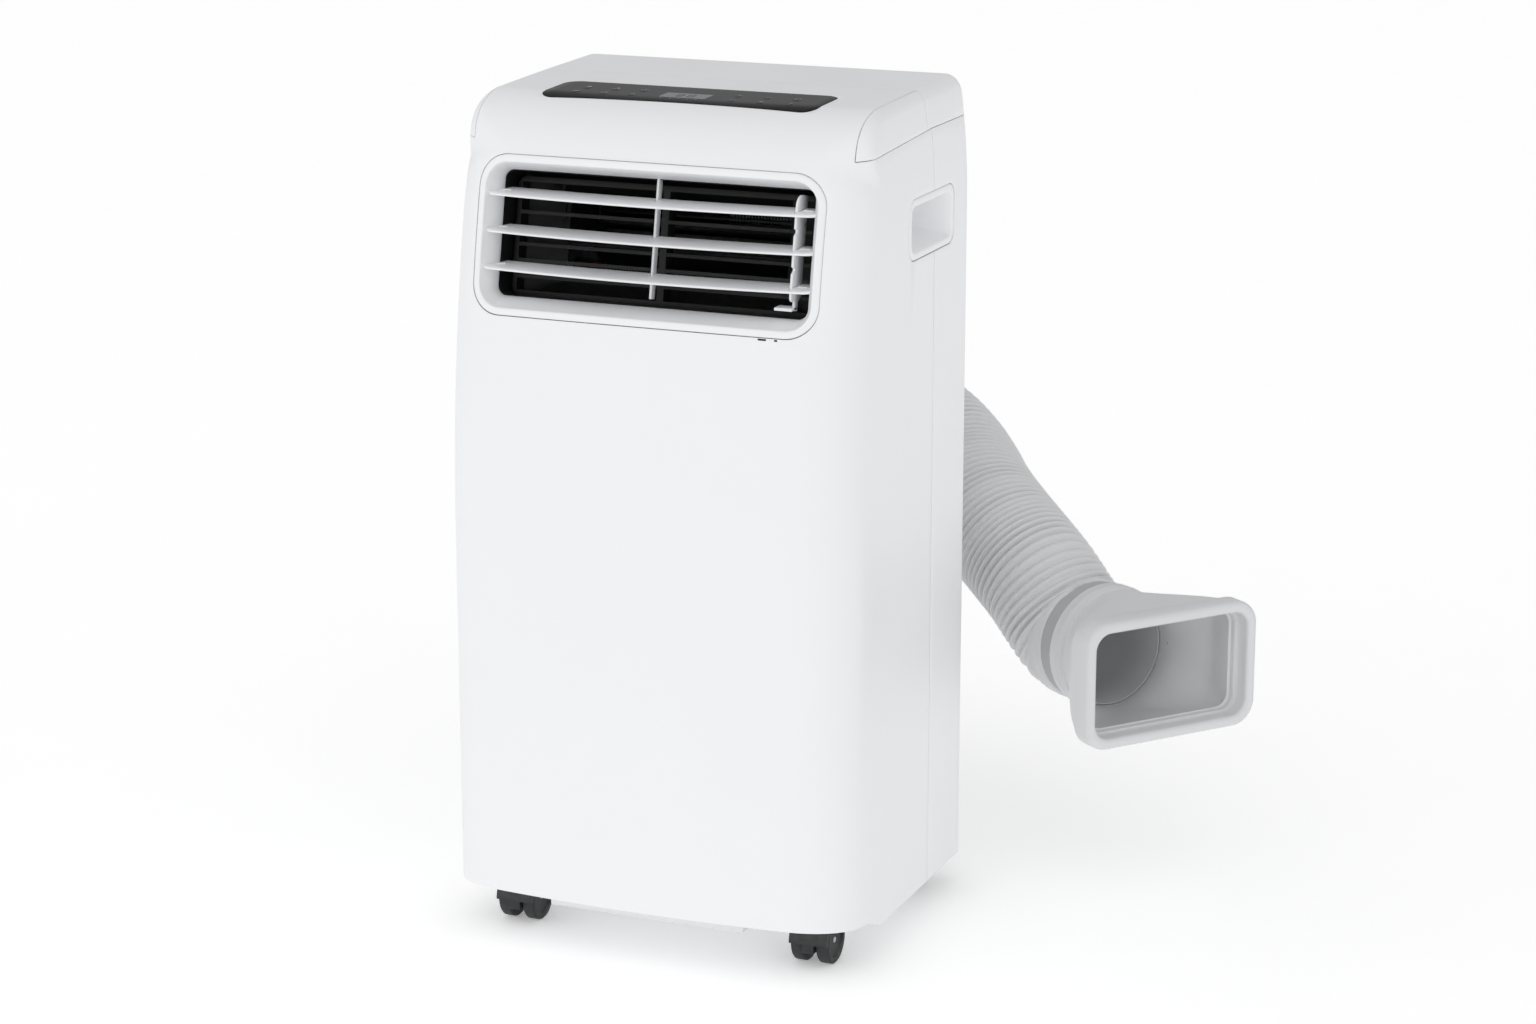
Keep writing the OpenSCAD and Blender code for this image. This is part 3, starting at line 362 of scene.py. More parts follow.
def finish(obj, mat, body, slot, *nodes):
    """Gives a finished piece its material and its body, and hides the frame nodes that it stands for. slot is not
    used.
    """
    obj.data.materials.clear()
    obj.data.materials.append(mat)
    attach(obj, body)
    if nodes:
        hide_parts(*nodes)
    return obj


# %% [markdown]
# The floor is a large sheet of matt white paper, the same white as the room.

# %% Floor
PAPER_GLOW = 0.27
paper = moulded("matt white paper", "#FBFBFB", 0.9, grain_mm=1.2, drift=0.004)
# Paper this bright is lit from below as well, as on a light table, so that it stays white to its far edge
paper_shader = paper.node_tree.nodes["Principled BSDF"]
paper_shader.inputs["Emission Color"].default_value = linear("#FFFFFF")
paper_shader.inputs["Emission Strength"].default_value = PAPER_GLOW
floor = make_object("floor", [(-6, -6, 0), (6, -6, 0), (6, 9, 0), (-6, 9, 0)], [(0, 1, 2, 3)])
floor.data.materials.append(paper)


# %% [markdown]
# The exhaust hose is a thin polypropylene tube wound in one piece with its ridges. It is pulled out and
# pushed together by hand, so the pitch drifts, some ridges lean into each other, and on the inside of a
# bend they bunch up. Its surface is a circle carried along a smooth path, with a radius that rises and
# falls along the way. The path is the route that the length was measured on: out of the socket, round
# behind the casing, and forward beside it to the window adaptor.

# %% The hose's route and its length
HOSE_D = 0.109
HOSE_ROUTE = np.array([
    [-110, 172, 392], [-110, 202, 392], [-110, 232, 392], [-110, 264, 391], [-108, 297, 389],
    [-103, 330, 385], [-93, 362, 378], [-76, 391, 369], [-52, 414, 358], [-23, 428, 345],
    [9, 431, 331], [40, 423, 317], [66, 406, 303], [87, 384, 291], [105, 360, 281], [123, 339, 272],
    [142, 321, 262], [161, 306, 251], [179, 293, 240], [196, 282, 228], [210, 274, 215],
    [223, 268, 202], [237, 262, 191]]) * MM
IN_CUFF = 52 * MM
MOUTH_ANGLE = math.radians(52)
MOUTH_DIR = np.array([math.sin(MOUTH_ANGLE), -math.cos(MOUTH_ANGLE), 0])
MOUTH_SIDE = np.array([math.cos(MOUTH_ANGLE), math.sin(MOUTH_ANGLE), 0])
hose_end = HOSE_ROUTE[-1]


def spline(points, start_dir, end_dir, step):
    """A smooth path through points: each stretch is a cubic whose end slopes are the mean of the two
    neighbouring steps, taken again at even distances of about step."""
    slope = np.empty_like(points)
    slope[1:-1] = (points[2:] - points[:-2]) / 2
    slope[0] = start_dir * np.linalg.norm(points[1] - points[0])
    slope[-1] = end_dir * np.linalg.norm(points[-1] - points[-2])
    t = np.linspace(0, 1, 12, endpoint=False)[None, :, None]
    p, q = points[:-1, None], points[1:, None]
    a, b = slope[:-1, None], slope[1:, None]
    fine = ((2 * t**3 - 3 * t**2 + 1) * p + (t**3 - 2 * t**2 + t) * a
            + (3 * t**2 - 2 * t**3) * q + (t**3 - t**2) * b).reshape(-1, 3)
    fine = np.vstack([fine, points[-1]])
    along = np.concatenate([[0], np.cumsum(np.linalg.norm(np.diff(fine, axis=0), axis=1))])
    s = np.linspace(0, along[-1], int(along[-1] / step) + 1)
    return np.stack([np.interp(s, along, fine[:, k]) for k in range(3)], -1), s


def frames(path):
    """Forward, sideways and up directions along a path. Sideways stays level, as the hose isn't twisted."""
    ahead = np.gradient(path, axis=0)
    ahead /= np.linalg.norm(ahead, axis=1)[:, None]
    side = np.cross(ahead, [0, 0, 1])
    side /= np.linalg.norm(side, axis=1)[:, None]
    return ahead, side, np.cross(side, ahead)


# The plain end runs on inside the cuff
hose_route_all = np.vstack([HOSE_ROUTE, hose_end + IN_CUFF / 2 * MOUTH_DIR, hose_end + IN_CUFF * MOUTH_DIR])
hose_path, hose_s = spline(hose_route_all, np.array([0, 1.0, 0]), MOUTH_DIR, 0.8 * MM)
hose_length = float(hose_s[-1])
print("hose length", round(hose_length, 3), "m, diameter", HOSE_D, "m")

# %% Ridges that bunch and lean
HOSE_AROUND = 64


def ridged_tube(path, s, radius, pitch, depth):
    """Circle of radius r(s, a) along the path. r falls from the crest by depth times a rounded wave of the
    phase; the phase runs at a pitch that drifts, and on the inside of a bend each ridge leans and swells."""
    ahead, side, up = frames(path)
    turn = np.gradient(ahead, axis=0) / np.gradient(s)[:, None]
    kernel = np.ones(41) / 41
    turn = np.stack([np.convolve(np.pad(turn[:, k], 20, "edge"), kernel, "valid") for k in range(3)], -1)
    drift = np.interp(s, np.linspace(0, s[-1], 26), 1 + 0.15 * rng.standard_normal(26))
    phase = np.cumsum(2 * np.pi * np.gradient(s) / (pitch * drift))
    a = np.linspace(0, 2 * np.pi, HOSE_AROUND, endpoint=False)
    ring = np.cos(a)[None, :, None] * side[:, None] + np.sin(a)[None, :, None] * up[:, None]
    inside = np.einsum("ik,ijk->ij", turn, ring) * radius
    lean = 0.5 * np.sin(a[None, :] * 2 + phase[:, None] * 0.045) + 1.6 * np.clip(inside, 0, 1) * np.sin(
        phase[:, None] * 0.31 + a[None, :])
    wave = 0.5 + 0.5 * np.cos(phase[:, None] + lean)
    wave = 1 - (1 - wave) ** 1.5
    soft = 1 + 0.3 * np.interp(phase, np.linspace(0, phase[-1], 60), rng.standard_normal(60))[:, None]
    r = radius - depth * soft.clip(0.55, 1.5) * (1 - wave)
    r -= 0.8 * MM * np.clip(inside, 0, 1) * (0.5 + 0.5 * np.sin(phase[:, None] * 0.5 + 2 * a[None, :]))
    # The ridges fade into plain ends inside the socket and the cuff
    plain = smooth_step(s / (6 * MM)) * smooth_step((s[-1] - IN_CUFF + 2 * MM - s) / (5 * MM))
    r = np.where(plain[:, None] < 1, radius - 0.5 * depth + (r - radius + 0.5 * depth) * plain[:, None], r)
    r = np.minimum(r, radius - 4.6 * MM * smooth_step((s - s[-1] + IN_CUFF) / (3 * MM))[:, None])
    return path[:, None] + r[..., None] * ring


RIDGE_PITCH, RIDGE_DEPTH = 7.6 * MM, 3.6 * MM
LINING_R = HOSE_D / 2 - 5.4 * MM
hose_grid = ridged_tube(hose_path, hose_s, HOSE_D / 2, RIDGE_PITCH, RIDGE_DEPTH)
# The inner face is plain and coarse: nobody sees it past the first few centimetres
spokes = (hose_grid - hose_path[:, None])[::-8]
lining = hose_path[::-8, None] + spokes * (LINING_R / np.linalg.norm(spokes, axis=-1))[..., None]
both = np.concatenate([hose_grid, lining])
hose_faces = grid_quads(len(both), HOSE_AROUND, wrap=True).tolist() + closing_ring(len(both), HOSE_AROUND)
hose = shade(tidy(make_object("exhaust_hose_skin", both, hose_faces), 0.001 * MM), 60)
print("hose ridges on", len(hose.data.polygons), "faces")

# %% [markdown]
# The casing is one shape before it is panels. Seen from the side, its outline rises straight, leans back
# on a large arc, turns over a round nose and runs level to the back. Carried along that outline, the
# cross-section is nearly flat in the middle, with a bow on the front, and rolls over into the sides with
# a radius that is large on the front and small on the top. That change is what draws the two crease
# lines where the top meets the side. The sides then fill the space inside the rolled edge.

# %% The casing's driving sizes, from the frame
shell_low, shell_high = corners("front_shell")
rear_low, rear_high = corners("rear_shell")
top_low, top_high = corners("top_rear_cover")
outlet_low, outlet_high = corners("outlet_frame")
HALF_W = shell_high[0]
FRONT_Y, BACK_Y = shell_low[1], rear_high[1]
TOP_Z = top_high[2]
LOW_Z = shell_low[2]
SEAM_Y = rear_low[1]
GROOVE_Y = top_low[1]
FRONT_LIP_Z = LOW_Z + 24 * MM
LEAN_Z, LEAN_R = TOP_Z - 358 * MM, 1300 * MM
NOSE_R, NOSE_END = 76 * MM, math.radians(86)
CORNER_R, REAR_R, TOP_R = 46 * MM, 12 * MM, 10 * MM
BOW, CROWN = 9 * MM, 8 * MM
CROWN_Z = TOP_Z - 103 * MM
WALL = 2.5 * MM
GAP = 0.35 * MM
lean_angle = math.asin((TOP_Z - 5 * MM - NOSE_R - LEAN_Z) / (LEAN_R - NOSE_R))
lean_centre = np.array([FRONT_Y + LEAN_R, LEAN_Z])
nose_centre = lean_centre + (LEAN_R - NOSE_R) * np.array([-math.cos(lean_angle), math.sin(lean_angle)])
flat_half = HALF_W - CORNER_R
print("casing", np.round([2 * HALF_W, BACK_Y - FRONT_Y, TOP_Z], 4), "m")


# %% The side outline
def side_outline(t, z0):
    """Points, inward normals and edge radii along the side outline, drawn in by t. Each arc is
    centre + radius (-cos a, sin a); the inward normal is the reverse of that direction."""
    def turn(centre, radius, a):
        out = np.stack([-np.cos(a), np.sin(a)], -1)
        return centre + (radius - t) * out, -out

    back = 16 * MM
    knee = z0 + 48 * MM
    front_z = np.concatenate([np.linspace(z0, knee, 20, endpoint=False),
                              np.linspace(knee, LEAN_Z, 30, endpoint=False)])
    n_front = len(front_z)
    stretches = [
        (np.stack([np.full(n_front, FRONT_Y + t), front_z], -1), np.tile([1.0, 0.0], (n_front, 1))),
        turn(lean_centre, LEAN_R, np.linspace(0, lean_angle, 36, endpoint=False)),
        turn(nose_centre, NOSE_R, np.linspace(lean_angle, NOSE_END, 26, endpoint=False))]
    tip, tip_in = turn(nose_centre, NOSE_R, np.array([NOSE_END]))
    end = np.array([BACK_Y - back, TOP_Z - t])
    u = np.linspace(0, 1, 30, endpoint=False)[:, None]
    inward = tip_in * (1 - u) + np.array([0.0, -1.0]) * u
    stretches.append((tip * (1 - u) + end * u, inward / np.linalg.norm(inward, axis=1)[:, None]))
    a = np.linspace(np.pi / 2, np.pi, 8, endpoint=False)
    stretches.append(turn(np.array([BACK_Y - back, TOP_Z - back]), back, a))
    down = np.concatenate([np.linspace(TOP_Z - back, knee, 60, endpoint=False), np.linspace(knee, z0, 20)])
    stretches.append((np.stack([np.full(80, BACK_Y - t), down], -1), np.tile([-1.0, 0.0], (80, 1))))
    points = np.concatenate([s[0] for s in stretches])
    inward = np.concatenate([s[1] for s in stretches])
    lie = smooth_step((-inward[:, 1] - 0.45) / 0.5)
    on_back = smooth_step((points[:, 0] - GROOVE_Y) / (BACK_Y - 20 * MM - GROOVE_Y))
    radius = CORNER_R * (1 - lie) + TOP_R * lie
    radius = radius * (1 - on_back) + REAR_R * on_back - t
    bow = np.where(points[:, 1] > LEAN_Z, 1 - smooth_step((points[:, 0] + 90 * MM) / (90 * MM)), 1.0)
    bow = np.where(points[:, 0] > 0, 0.0, bow)
    return points, inward, radius, bow


def bow_depth(x):
    """How far the bowed front lies behind its middle at x: a parabola that eases off in the corner."""
    x = np.abs(x)
    past = np.clip(x - flat_half, 0, CORNER_R)
    slope = 2 * BOW / flat_half
    return BOW * (np.minimum(x, flat_half) / flat_half) ** 2 + slope * past * (1 - past / (2 * CORNER_R))


def crown_in(z):
    """How far each side draws in above the crown's height: quadratic, CROWN at the top."""
    u = np.clip(z - CROWN_Z, 0, None) / (TOP_Z - CROWN_Z)
    return CROWN * u * u


# %% The casing as a closed surface
def casing(name, t, z0, across=13, corner=9, inside=9):
    """Grid over (place along the outline, place across): the middle, then r (1 - cos a) inward and r sin a
    sideways round each edge. Each side is filled by straight lines from the rolled edge to an upright spine."""
    points, inward, radius, bow = side_outline(t, z0)
    w = HALF_W - t
    a = np.linspace(0, np.pi / 2, corner + 1)[1:]
    mid = np.linspace(-1, 1, 2 * across + 1)
    x = np.concatenate([-(w - radius[:, None]) - radius[:, None] * np.sin(a)[None, ::-1],
                        (w - radius[:, None]) * mid[None],
                        (w - radius[:, None]) + radius[:, None] * np.sin(a)[None]], 1)
    depth = radius[:, None] * np.concatenate([(1 - np.cos(a))[::-1], 0 * mid, 1 - np.cos(a)])[None]
    y = points[:, None, 0] + inward[:, None, 0] * depth + bow[:, None] * bow_depth(x)
    z = points[:, None, 1] + inward[:, None, 1] * depth
    skin = np.stack([x, y, z], -1)
    spine_y = 0.25 * FRONT_Y + 0.25 * BACK_Y
    q = np.linspace(0, 0.94, inside + 1)[1:, None]
    sides = []
    for edge in (skin[:, -1], skin[:, 0]):
        spine = np.stack([edge[:, 0], np.full(len(edge), spine_y), np.clip(edge[:, 2], z0, CROWN_Z)], -1)
        sides.append(edge[:, None] * (1 - q) + spine[:, None] * q)
    grid = np.concatenate([sides[1][:, ::-1], skin, sides[0]], 1)
    grid[..., 0] *= 1 - crown_in(grid[..., 2]) / HALF_W
    rows, cols = grid.shape[:2]
    faces = grid_quads(rows, cols).tolist()
    faces.append(list(range(cols)) + list(range(rows * cols - 1, (rows - 1) * cols - 1, -1)))
    # Close the strip that is left round each spine
    faces.append(list(range(0, rows * cols, cols)))
    faces.append(list(range(cols - 1, rows * cols, cols))[::-1])
    obj = make_object(name, grid, faces)
    return tidy(obj, 0.05 * MM)


outer = casing("casing_outer", 0, LOW_Z - 0.5 * MM)
inner = casing("casing_inner", WALL, LOW_Z - 2 * MM)


def loose_edges(obj):
    """Number of edges that don't have exactly two faces."""
    work = bmesh.new()
    work.from_mesh(obj.data)
    n = sum(1 for e in work.edges if len(e.link_faces) != 2)
    work.free()
    return n


print("open edges", loose_edges(outer), loose_edges(inner))

# %% [markdown]
# The real casing is four mouldings that meet at fine dark lines: a front panel, a rear panel, and a lid
# in two parts with a groove between them. The hollow skin is cut by the openings once, and each panel is
# the part of the skin inside its own region. The regions stop a little short of each other, which leaves
# the lines. Last, every cut edge gets the small radius that a mould leaves.

# %% Places read from the frame
OUTLET_TILT = math.asin((TOP_Z - 109 * MM - LEAN_Z) / LEAN_R)
OUTLET_Z = TOP_Z - 109 * MM
OUTLET_Y = FRONT_Y + LEAN_R * (1 - math.cos(OUTLET_TILT))
OUTLET_HALF = np.array([(outlet_high[0] - outlet_low[0]) / 2, 64 * MM])
RIM_R = 26 * MM
RECESS_DEPTH, TUNNEL_END = 32 * MM, 62 * MM
handle_low, handle_high = corners("handle_right")
HANDLE_HALF = np.array([handle_high[1] - handle_low[1], handle_high[2] - handle_low[2]]) / 2
HANDLE_Y, HANDLE_Z = (handle_high[1] + handle_low[1]) / 2, (handle_high[2] + handle_low[2]) / 2
panel_low, panel_high = corners("touch_panel")
PANEL_HALF = (panel_high[:2] - panel_low[:2]) / 2
PANEL_Y = (panel_high[1] + panel_low[1]) / 2
PANEL_R = 13 * MM
socket_low, socket_high = corners("exhaust_socket")
SOCKET_X = (socket_low[0] + socket_high[0]) / 2
SOCKET_Z = (socket_low[2] + socket_high[2]) / 2
SOCKET_R = (socket_high[2] - socket_low[2]) / 2 - 4 * MM


def bend_with_front(u, v):
    """Depth of the casing's front behind the outlet's plane: the lean's arc, the bow and the corner's arc."""
    past = np.clip(np.abs(u) - flat_half, 0, CORNER_R * 0.99)
    return v**2 / (2 * LEAN_R) + bow_depth(u) + CORNER_R - np.sqrt(CORNER_R**2 - past**2)


def in_outlet(follow=True):
    """Place function of the leaning outlet: u right, v up along the lean, depth inward. Near the front the
    depth starts from the casing's curved surface, and deeper in it evens out to a plane."""
    def place(u, v, d):
        d = np.asarray(d, float)
        if follow:
            d = d + bend_with_front(u, v) * smooth_step((RECESS_DEPTH - d) / RECESS_DEPTH)
        c, s = math.cos(OUTLET_TILT), math.sin(OUTLET_TILT)
        return np.stack([u + 0 * d, OUTLET_Y + d * c + v * s, OUTLET_Z - d * s + v * c], -1)
    return place


def in_handle(side):
    """Place function of a handle cup: u to the back, v up, depth inward from the side wall."""
    return lambda u, v, d: np.stack([side * (HALF_W - d), HANDLE_Y + u, HANDLE_Z + v + 0 * d], -1)


# %% Cutters
def round_bar(name, x, z, r, lo, hi, n=12):
    """A closed round bar along Y."""
    return prism(name, r, r, r, lo, hi, along_y(x, z), n)


grilles = {}
for part in ("upper_grille", "lower_grille"):
    low, high = corners(part)
    grilles[part] = ((high[0] - low[0]) / 2, (high[2] - low[2]) / 2, (high[2] + low[2]) / 2)
cutters = [prism("outlet hole", *(OUTLET_HALF + 0.4 * MM), RIM_R, -40 * MM, TUNNEL_END, in_outlet(False), 12)]
for side in (-1, 1):
    cutters.append(prism("handle hole", *(HANDLE_HALF + 0.5 * MM), 12 * MM, -12 * MM, 12 * MM, in_handle(side)))
for half_w, half_h, mid_z in grilles.values():
    cutters.append(prism("grille hole", half_w + GAP, half_h + GAP, 6 * MM, BACK_Y - 12 * MM, BACK_Y + 9 * MM,
                         along_y(0, mid_z)))
cutters.append(round_bar("socket hole", SOCKET_X, SOCKET_Z, SOCKET_R + GAP, BACK_Y - 12 * MM, BACK_Y + 9 * MM))
for part, grow in (("mains_gland", -3.8), ("upper_drain_plug", -2), ("lower_drain_plug", -2)):
    low, high = corners(part)
    cutters.append(round_bar(part + " hole", (low[0] + high[0]) / 2, (low[2] + high[2]) / 2,
                             (high[0] - low[0]) / 2 + grow * MM, BACK_Y - 12 * MM, BACK_Y + 9 * MM))
skin = boolean(outer, inner, "DIFFERENCE")
through_lid = (TOP_Z - 45 * MM, TOP_Z + 40 * MM, along_z(0, PANEL_Y), 10)
panel_mask = prism("panel mask", *(PANEL_HALF - 0.15 * MM), PANEL_R, *through_lid)
panel_hole = prism("panel hole", *(PANEL_HALF + 0.25 * MM), PANEL_R + 0.4 * MM, *through_lid)
touch_panel = boolean(copy_of(skin, "touch_panel_glass"), panel_mask, "INTERSECT")
skin = boolean(skin, join("openings", cutters), "DIFFERENCE")
print("hollow skin with its openings:", len(skin.data.polygons), "faces, open edges", loose_edges(skin))


# %% Panels
def side_region(name, points):
    """A closed prism across the whole width from a closed outline of (y, z) points, given anticlockwise."""
    points = np.array(points, float)
    wide = HALF_W + 20 * MM
    grid = np.array([[(x, y, z) for y, z in points] for x in (-wide, wide)])
    return tidy(make_object(name, grid, capped_faces(len(points))))


far, high_z = 30 * MM, TOP_Z + 30 * MM
COVER_FRONT_Z, COVER_SIDE_Z = TOP_Z - 45 * MM, TOP_Z - 34 * MM


def cover_seam(y):
    """Height of the lid's seam: it rises evenly from the front to the side seam, then runs level."""
    return COVER_FRONT_Z + (COVER_SIDE_Z - COVER_FRONT_Z) * np.clip((y - FRONT_Y) / (SEAM_Y - FRONT_Y), 0, 1)


y0, y3 = FRONT_Y - far, BACK_Y + far
regions = {
    "front_shell_panel": [(y0, FRONT_LIP_Z), (FRONT_Y + 70 * MM, FRONT_LIP_Z - 12 * MM),
                          (FRONT_Y + 100 * MM, LOW_Z), (SEAM_Y - GAP, LOW_Z), (SEAM_Y - GAP, COVER_SIDE_Z - GAP),
                          (y0, cover_seam(FRONT_Y) - GAP)],
    "rear_shell_panel": [(SEAM_Y + GAP, LOW_Z), (y3, LOW_Z), (y3, COVER_SIDE_Z - GAP),
                         (SEAM_Y + GAP, COVER_SIDE_Z - GAP)],
    "top_front_lid": [(y0, COVER_FRONT_Z + GAP), (SEAM_Y, COVER_SIDE_Z + GAP),
                      (GROOVE_Y - GAP, COVER_SIDE_Z + GAP), (GROOVE_Y - GAP, high_z), (y0, high_z)],
    "top_rear_lid": [(GROOVE_Y + GAP, COVER_SIDE_Z + GAP), (SEAM_Y, COVER_SIDE_Z + GAP),
                     (y3, COVER_SIDE_Z + GAP), (y3, high_z), (GROOVE_Y + GAP, high_z)]}
panels = {}
# The front's middle runs over the nose into the lid without a seam, so that middle goes to the front panel
BAND_HALF = 163 * MM
for name, points in regions.items():
    region = side_region("region", points)
    if name == "front_shell_panel":
        band = block("band", (-BAND_HALF, y0 - MM, COVER_FRONT_Z - 12 * MM),
                     (BAND_HALF, GROOVE_Y - GAP, high_z))
        region = boolean(region, band, "UNION")
    elif name == "top_front_lid":
        band = block("band", (-BAND_HALF - 2 * GAP, y0 - MM, LOW_Z),
                     (BAND_HALF + 2 * GAP, BACK_Y, high_z + MM))
        region = boolean(region, band, "DIFFERENCE")
    panels[name] = boolean(copy_of(skin, name), region, "INTERSECT")
panels["front_shell_panel"] = boolean(panels["front_shell_panel"], panel_hole, "DIFFERENCE")
bpy.data.objects.remove(skin)
for name, panel in panels.items():
    tidy(panel, 0.02 * MM)
    bevel(panel, 0.5 * MM, 2, 50)
    shade(panel, 40)
    print(name, len(panel.data.polygons), "faces")
bevel(touch_panel, 0.6 * MM, 2, 50)
shade(touch_panel, 40)

# %% [markdown]
# Moulded ABS with a fine satin texture covers the machine. It isn't a mirror and not chalk: soft light
# spreads over it, and close up there's a fine grain. The panels, the handles, the outlet frame and the
# louvers are the same plastic, so they share one finish.

# %% White ABS on the casing
white_abs = moulded("satin white ABS", "#F1F2F4", 0.42, grain_mm=0.9, grain_depth=0.012, drift=0.012)
inner_abs = moulded("matt white ABS, inside", "#E9EAEC", 0.55, grain_mm=0.9, grain_depth=0.015, drift=0.02)
finish(panels["front_shell_panel"], white_abs, "casing", "white_abs", "front_shell")
finish(panels["rear_shell_panel"], white_abs, "casing", "white_abs", "rear_shell")
finish(panels["top_front_lid"], white_abs, "casing", "white_abs", "top_front_cover")
finish(panels["top_rear_lid"], white_abs, "casing", "white_abs", "top_rear_cover")

# %% [markdown]
# The outlet frame is a ring that sits in the front panel with a fine dark gap. Its rim follows the
# panel's curve, then the wall rolls in and slopes back to the inner opening, where a short tunnel leads
# to the black grille. One loft makes it: the first stations are on the outside, the last ones inside.

# %% Outlet frame
rim_w, rim_h = OUTLET_HALF - 0.1 * MM
inner_w, inner_h = 134 * MM, 50.5 * MM
OPENING_DEPTH, OPENING_LIFT = 29 * MM, 2.0 * MM
frame_stations = [(rim_w, rim_h, RIM_R, 24 * MM), (rim_w, rim_h, RIM_R, 1.0 * MM),
                  (rim_w - 0.3 * MM, rim_h - 0.3 * MM, RIM_R - 0.3 * MM, 0.35 * MM),
                  (rim_w - 1.0 * MM, rim_h - 1.0 * MM, RIM_R - 1 * MM, 0.0)]
frame_stations += [(rim_w - g * MM, rim_h - g * MM, RIM_R - g * MM, h * MM)
                   for g, h in ((4.6, 0.0), (5.4, 0.25), (6.0, 0.9), (6.3, 2.0))]
for u in np.linspace(0, 1, 9)[1:]:
    d = 2 * MM + u * (OPENING_DEPTH - 2 * MM)
    k = u ** 0.92
    frame_stations.append((rim_w - 6.3 * MM + k * (inner_w - rim_w + 6.3 * MM),
                           rim_h - 6.3 * MM + k * (inner_h - rim_h + 6.3 * MM),
                           19.7 * MM + k * (8 - 19.7) * MM, d))
frame_stations += [(inner_w, inner_h, 8 * MM, OPENING_DEPTH + 3 * MM),
                   (inner_w + 2.5 * MM, inner_h + 2.5 * MM, 10 * MM, OPENING_DEPTH + 3 * MM),
                   (rim_w - 2 * MM, rim_h - 2 * MM, RIM_R - 2 * MM, 24 * MM)]


def denser(stations, cols=10):
    """The same outline with its straight runs split, so that a bowed rim stays smooth between its corners."""
    rings = []
    for w, h, r, d in stations:
        ring = outline(w, h, r, 10)
        closed = np.vstack([ring, ring[:1]])
        split = [ring[0:11]]
        for k in range(4):
            first, second = closed[11 * k + 10], closed[11 * (k + 1)]
            u = np.linspace(0, 1, cols + 1)[1:-1, None]
            split.append(first * (1 - u) + second * u)
            if k < 3:
                split.append(ring[11 * (k + 1):11 * (k + 2)])
        ring = np.vstack(split)
        rings.append(np.column_stack([ring, np.full(len(ring), d)]))
    return np.array(rings)


def ring_body(name, stations, place, cols=10):
    """A rounded outline carried through stations (half_w, half_h, r, depth), the last joined to the first."""
    grid = denser(stations, cols)
    points = place(grid[..., 0], grid[..., 1], grid[..., 2])
    n_rows, n_cols = grid.shape[:2]
    faces = grid_quads(n_rows, n_cols, wrap=True).tolist()
    faces += closing_ring(n_rows, n_cols)
    return tidy(make_object(name, points, faces))


def lifted(u, v, d):
    """The leaning outlet, with everything deeper than the rim raised little by little towards the opening."""
    return in_outlet()(u, v + OPENING_LIFT * smooth_step(d / OPENING_DEPTH), d)


outlet_ring = ring_body("outlet_frame_ring", frame_stations, lifted, 24)
liner = ring_body("outlet_liner", [
    (inner_w - 0.6 * MM, inner_h - 0.6 * MM, 7.6 * MM, OPENING_DEPTH + 1.5 * MM),
    (inner_w - 1 * MM, inner_h - 1 * MM, 7.4 * MM, TUNNEL_END),
    (96 * MM, 34 * MM, 7 * MM, TUNNEL_END + 15 * MM), (98 * MM, 36 * MM, 8 * MM, TUNNEL_END + 15 * MM),
    (inner_w + 1 * MM, inner_h + 1 * MM, 9 * MM, TUNNEL_END),
    (inner_w + 1 * MM, inner_h + 1 * MM, 9 * MM, OPENING_DEPTH + 3.4 * MM)],
    lambda u, v, d: in_outlet(False)(u, v + OPENING_LIFT, d), 4)
link_high = corners("louver_link")[1]
shade(outlet_ring, 40)
finish(outlet_ring, white_abs, "casing", "white_abs", "outlet_frame")
print("outlet frame", np.round(2 * OUTLET_HALF, 3), "m,", len(outlet_ring.data.polygons), "faces")

# Two small slits under the frame let room air reach the sensor behind it. They aren't cut: a thin black film on
# the surface is painted shade for their dark insides
def under_outlet(x):
    """Place function of a slit just below the frame, x to the right of the outlet's middle."""
    return lambda u, v, d: in_outlet()(u + x, v - OUTLET_HALF[1] - 1.6 * MM, d)


slits = [prism("slit", half_w, 0.7 * MM, 0.69 * MM, -0.15 * MM, 1.5 * MM, under_outlet(x), 4)
         for x, half_w in ((106 * MM, 3.4 * MM), (117 * MM, 1.3 * MM))]
finish(join("sensor_slits", slits), moulded("painted shade of a slit in ABS", "#101010", 0.8, drift=0.1), "casing", "black_pp")

# %% [markdown]
# Each louver is a thin white blade. Its front edge bows with the casing so that the closed row looks
# flush, its ends are round in front and run back along the recess walls, and its section is a flat
# strip with round edges. Slots leave room for the middle web and for the link that turns all three.

# %% Louver blades
BLADE_T = 2.4 * MM
BLADE_HALF, BLADE_NECK = 140.6 * MM, 132.5 * MM
BLADE_ACROSS, BLADE_AROUND = 81, 24
PIN_BACK = 26.6 * MM  # from a blade's front edge to its pins
SLOT_HALF = 1.9 * MM


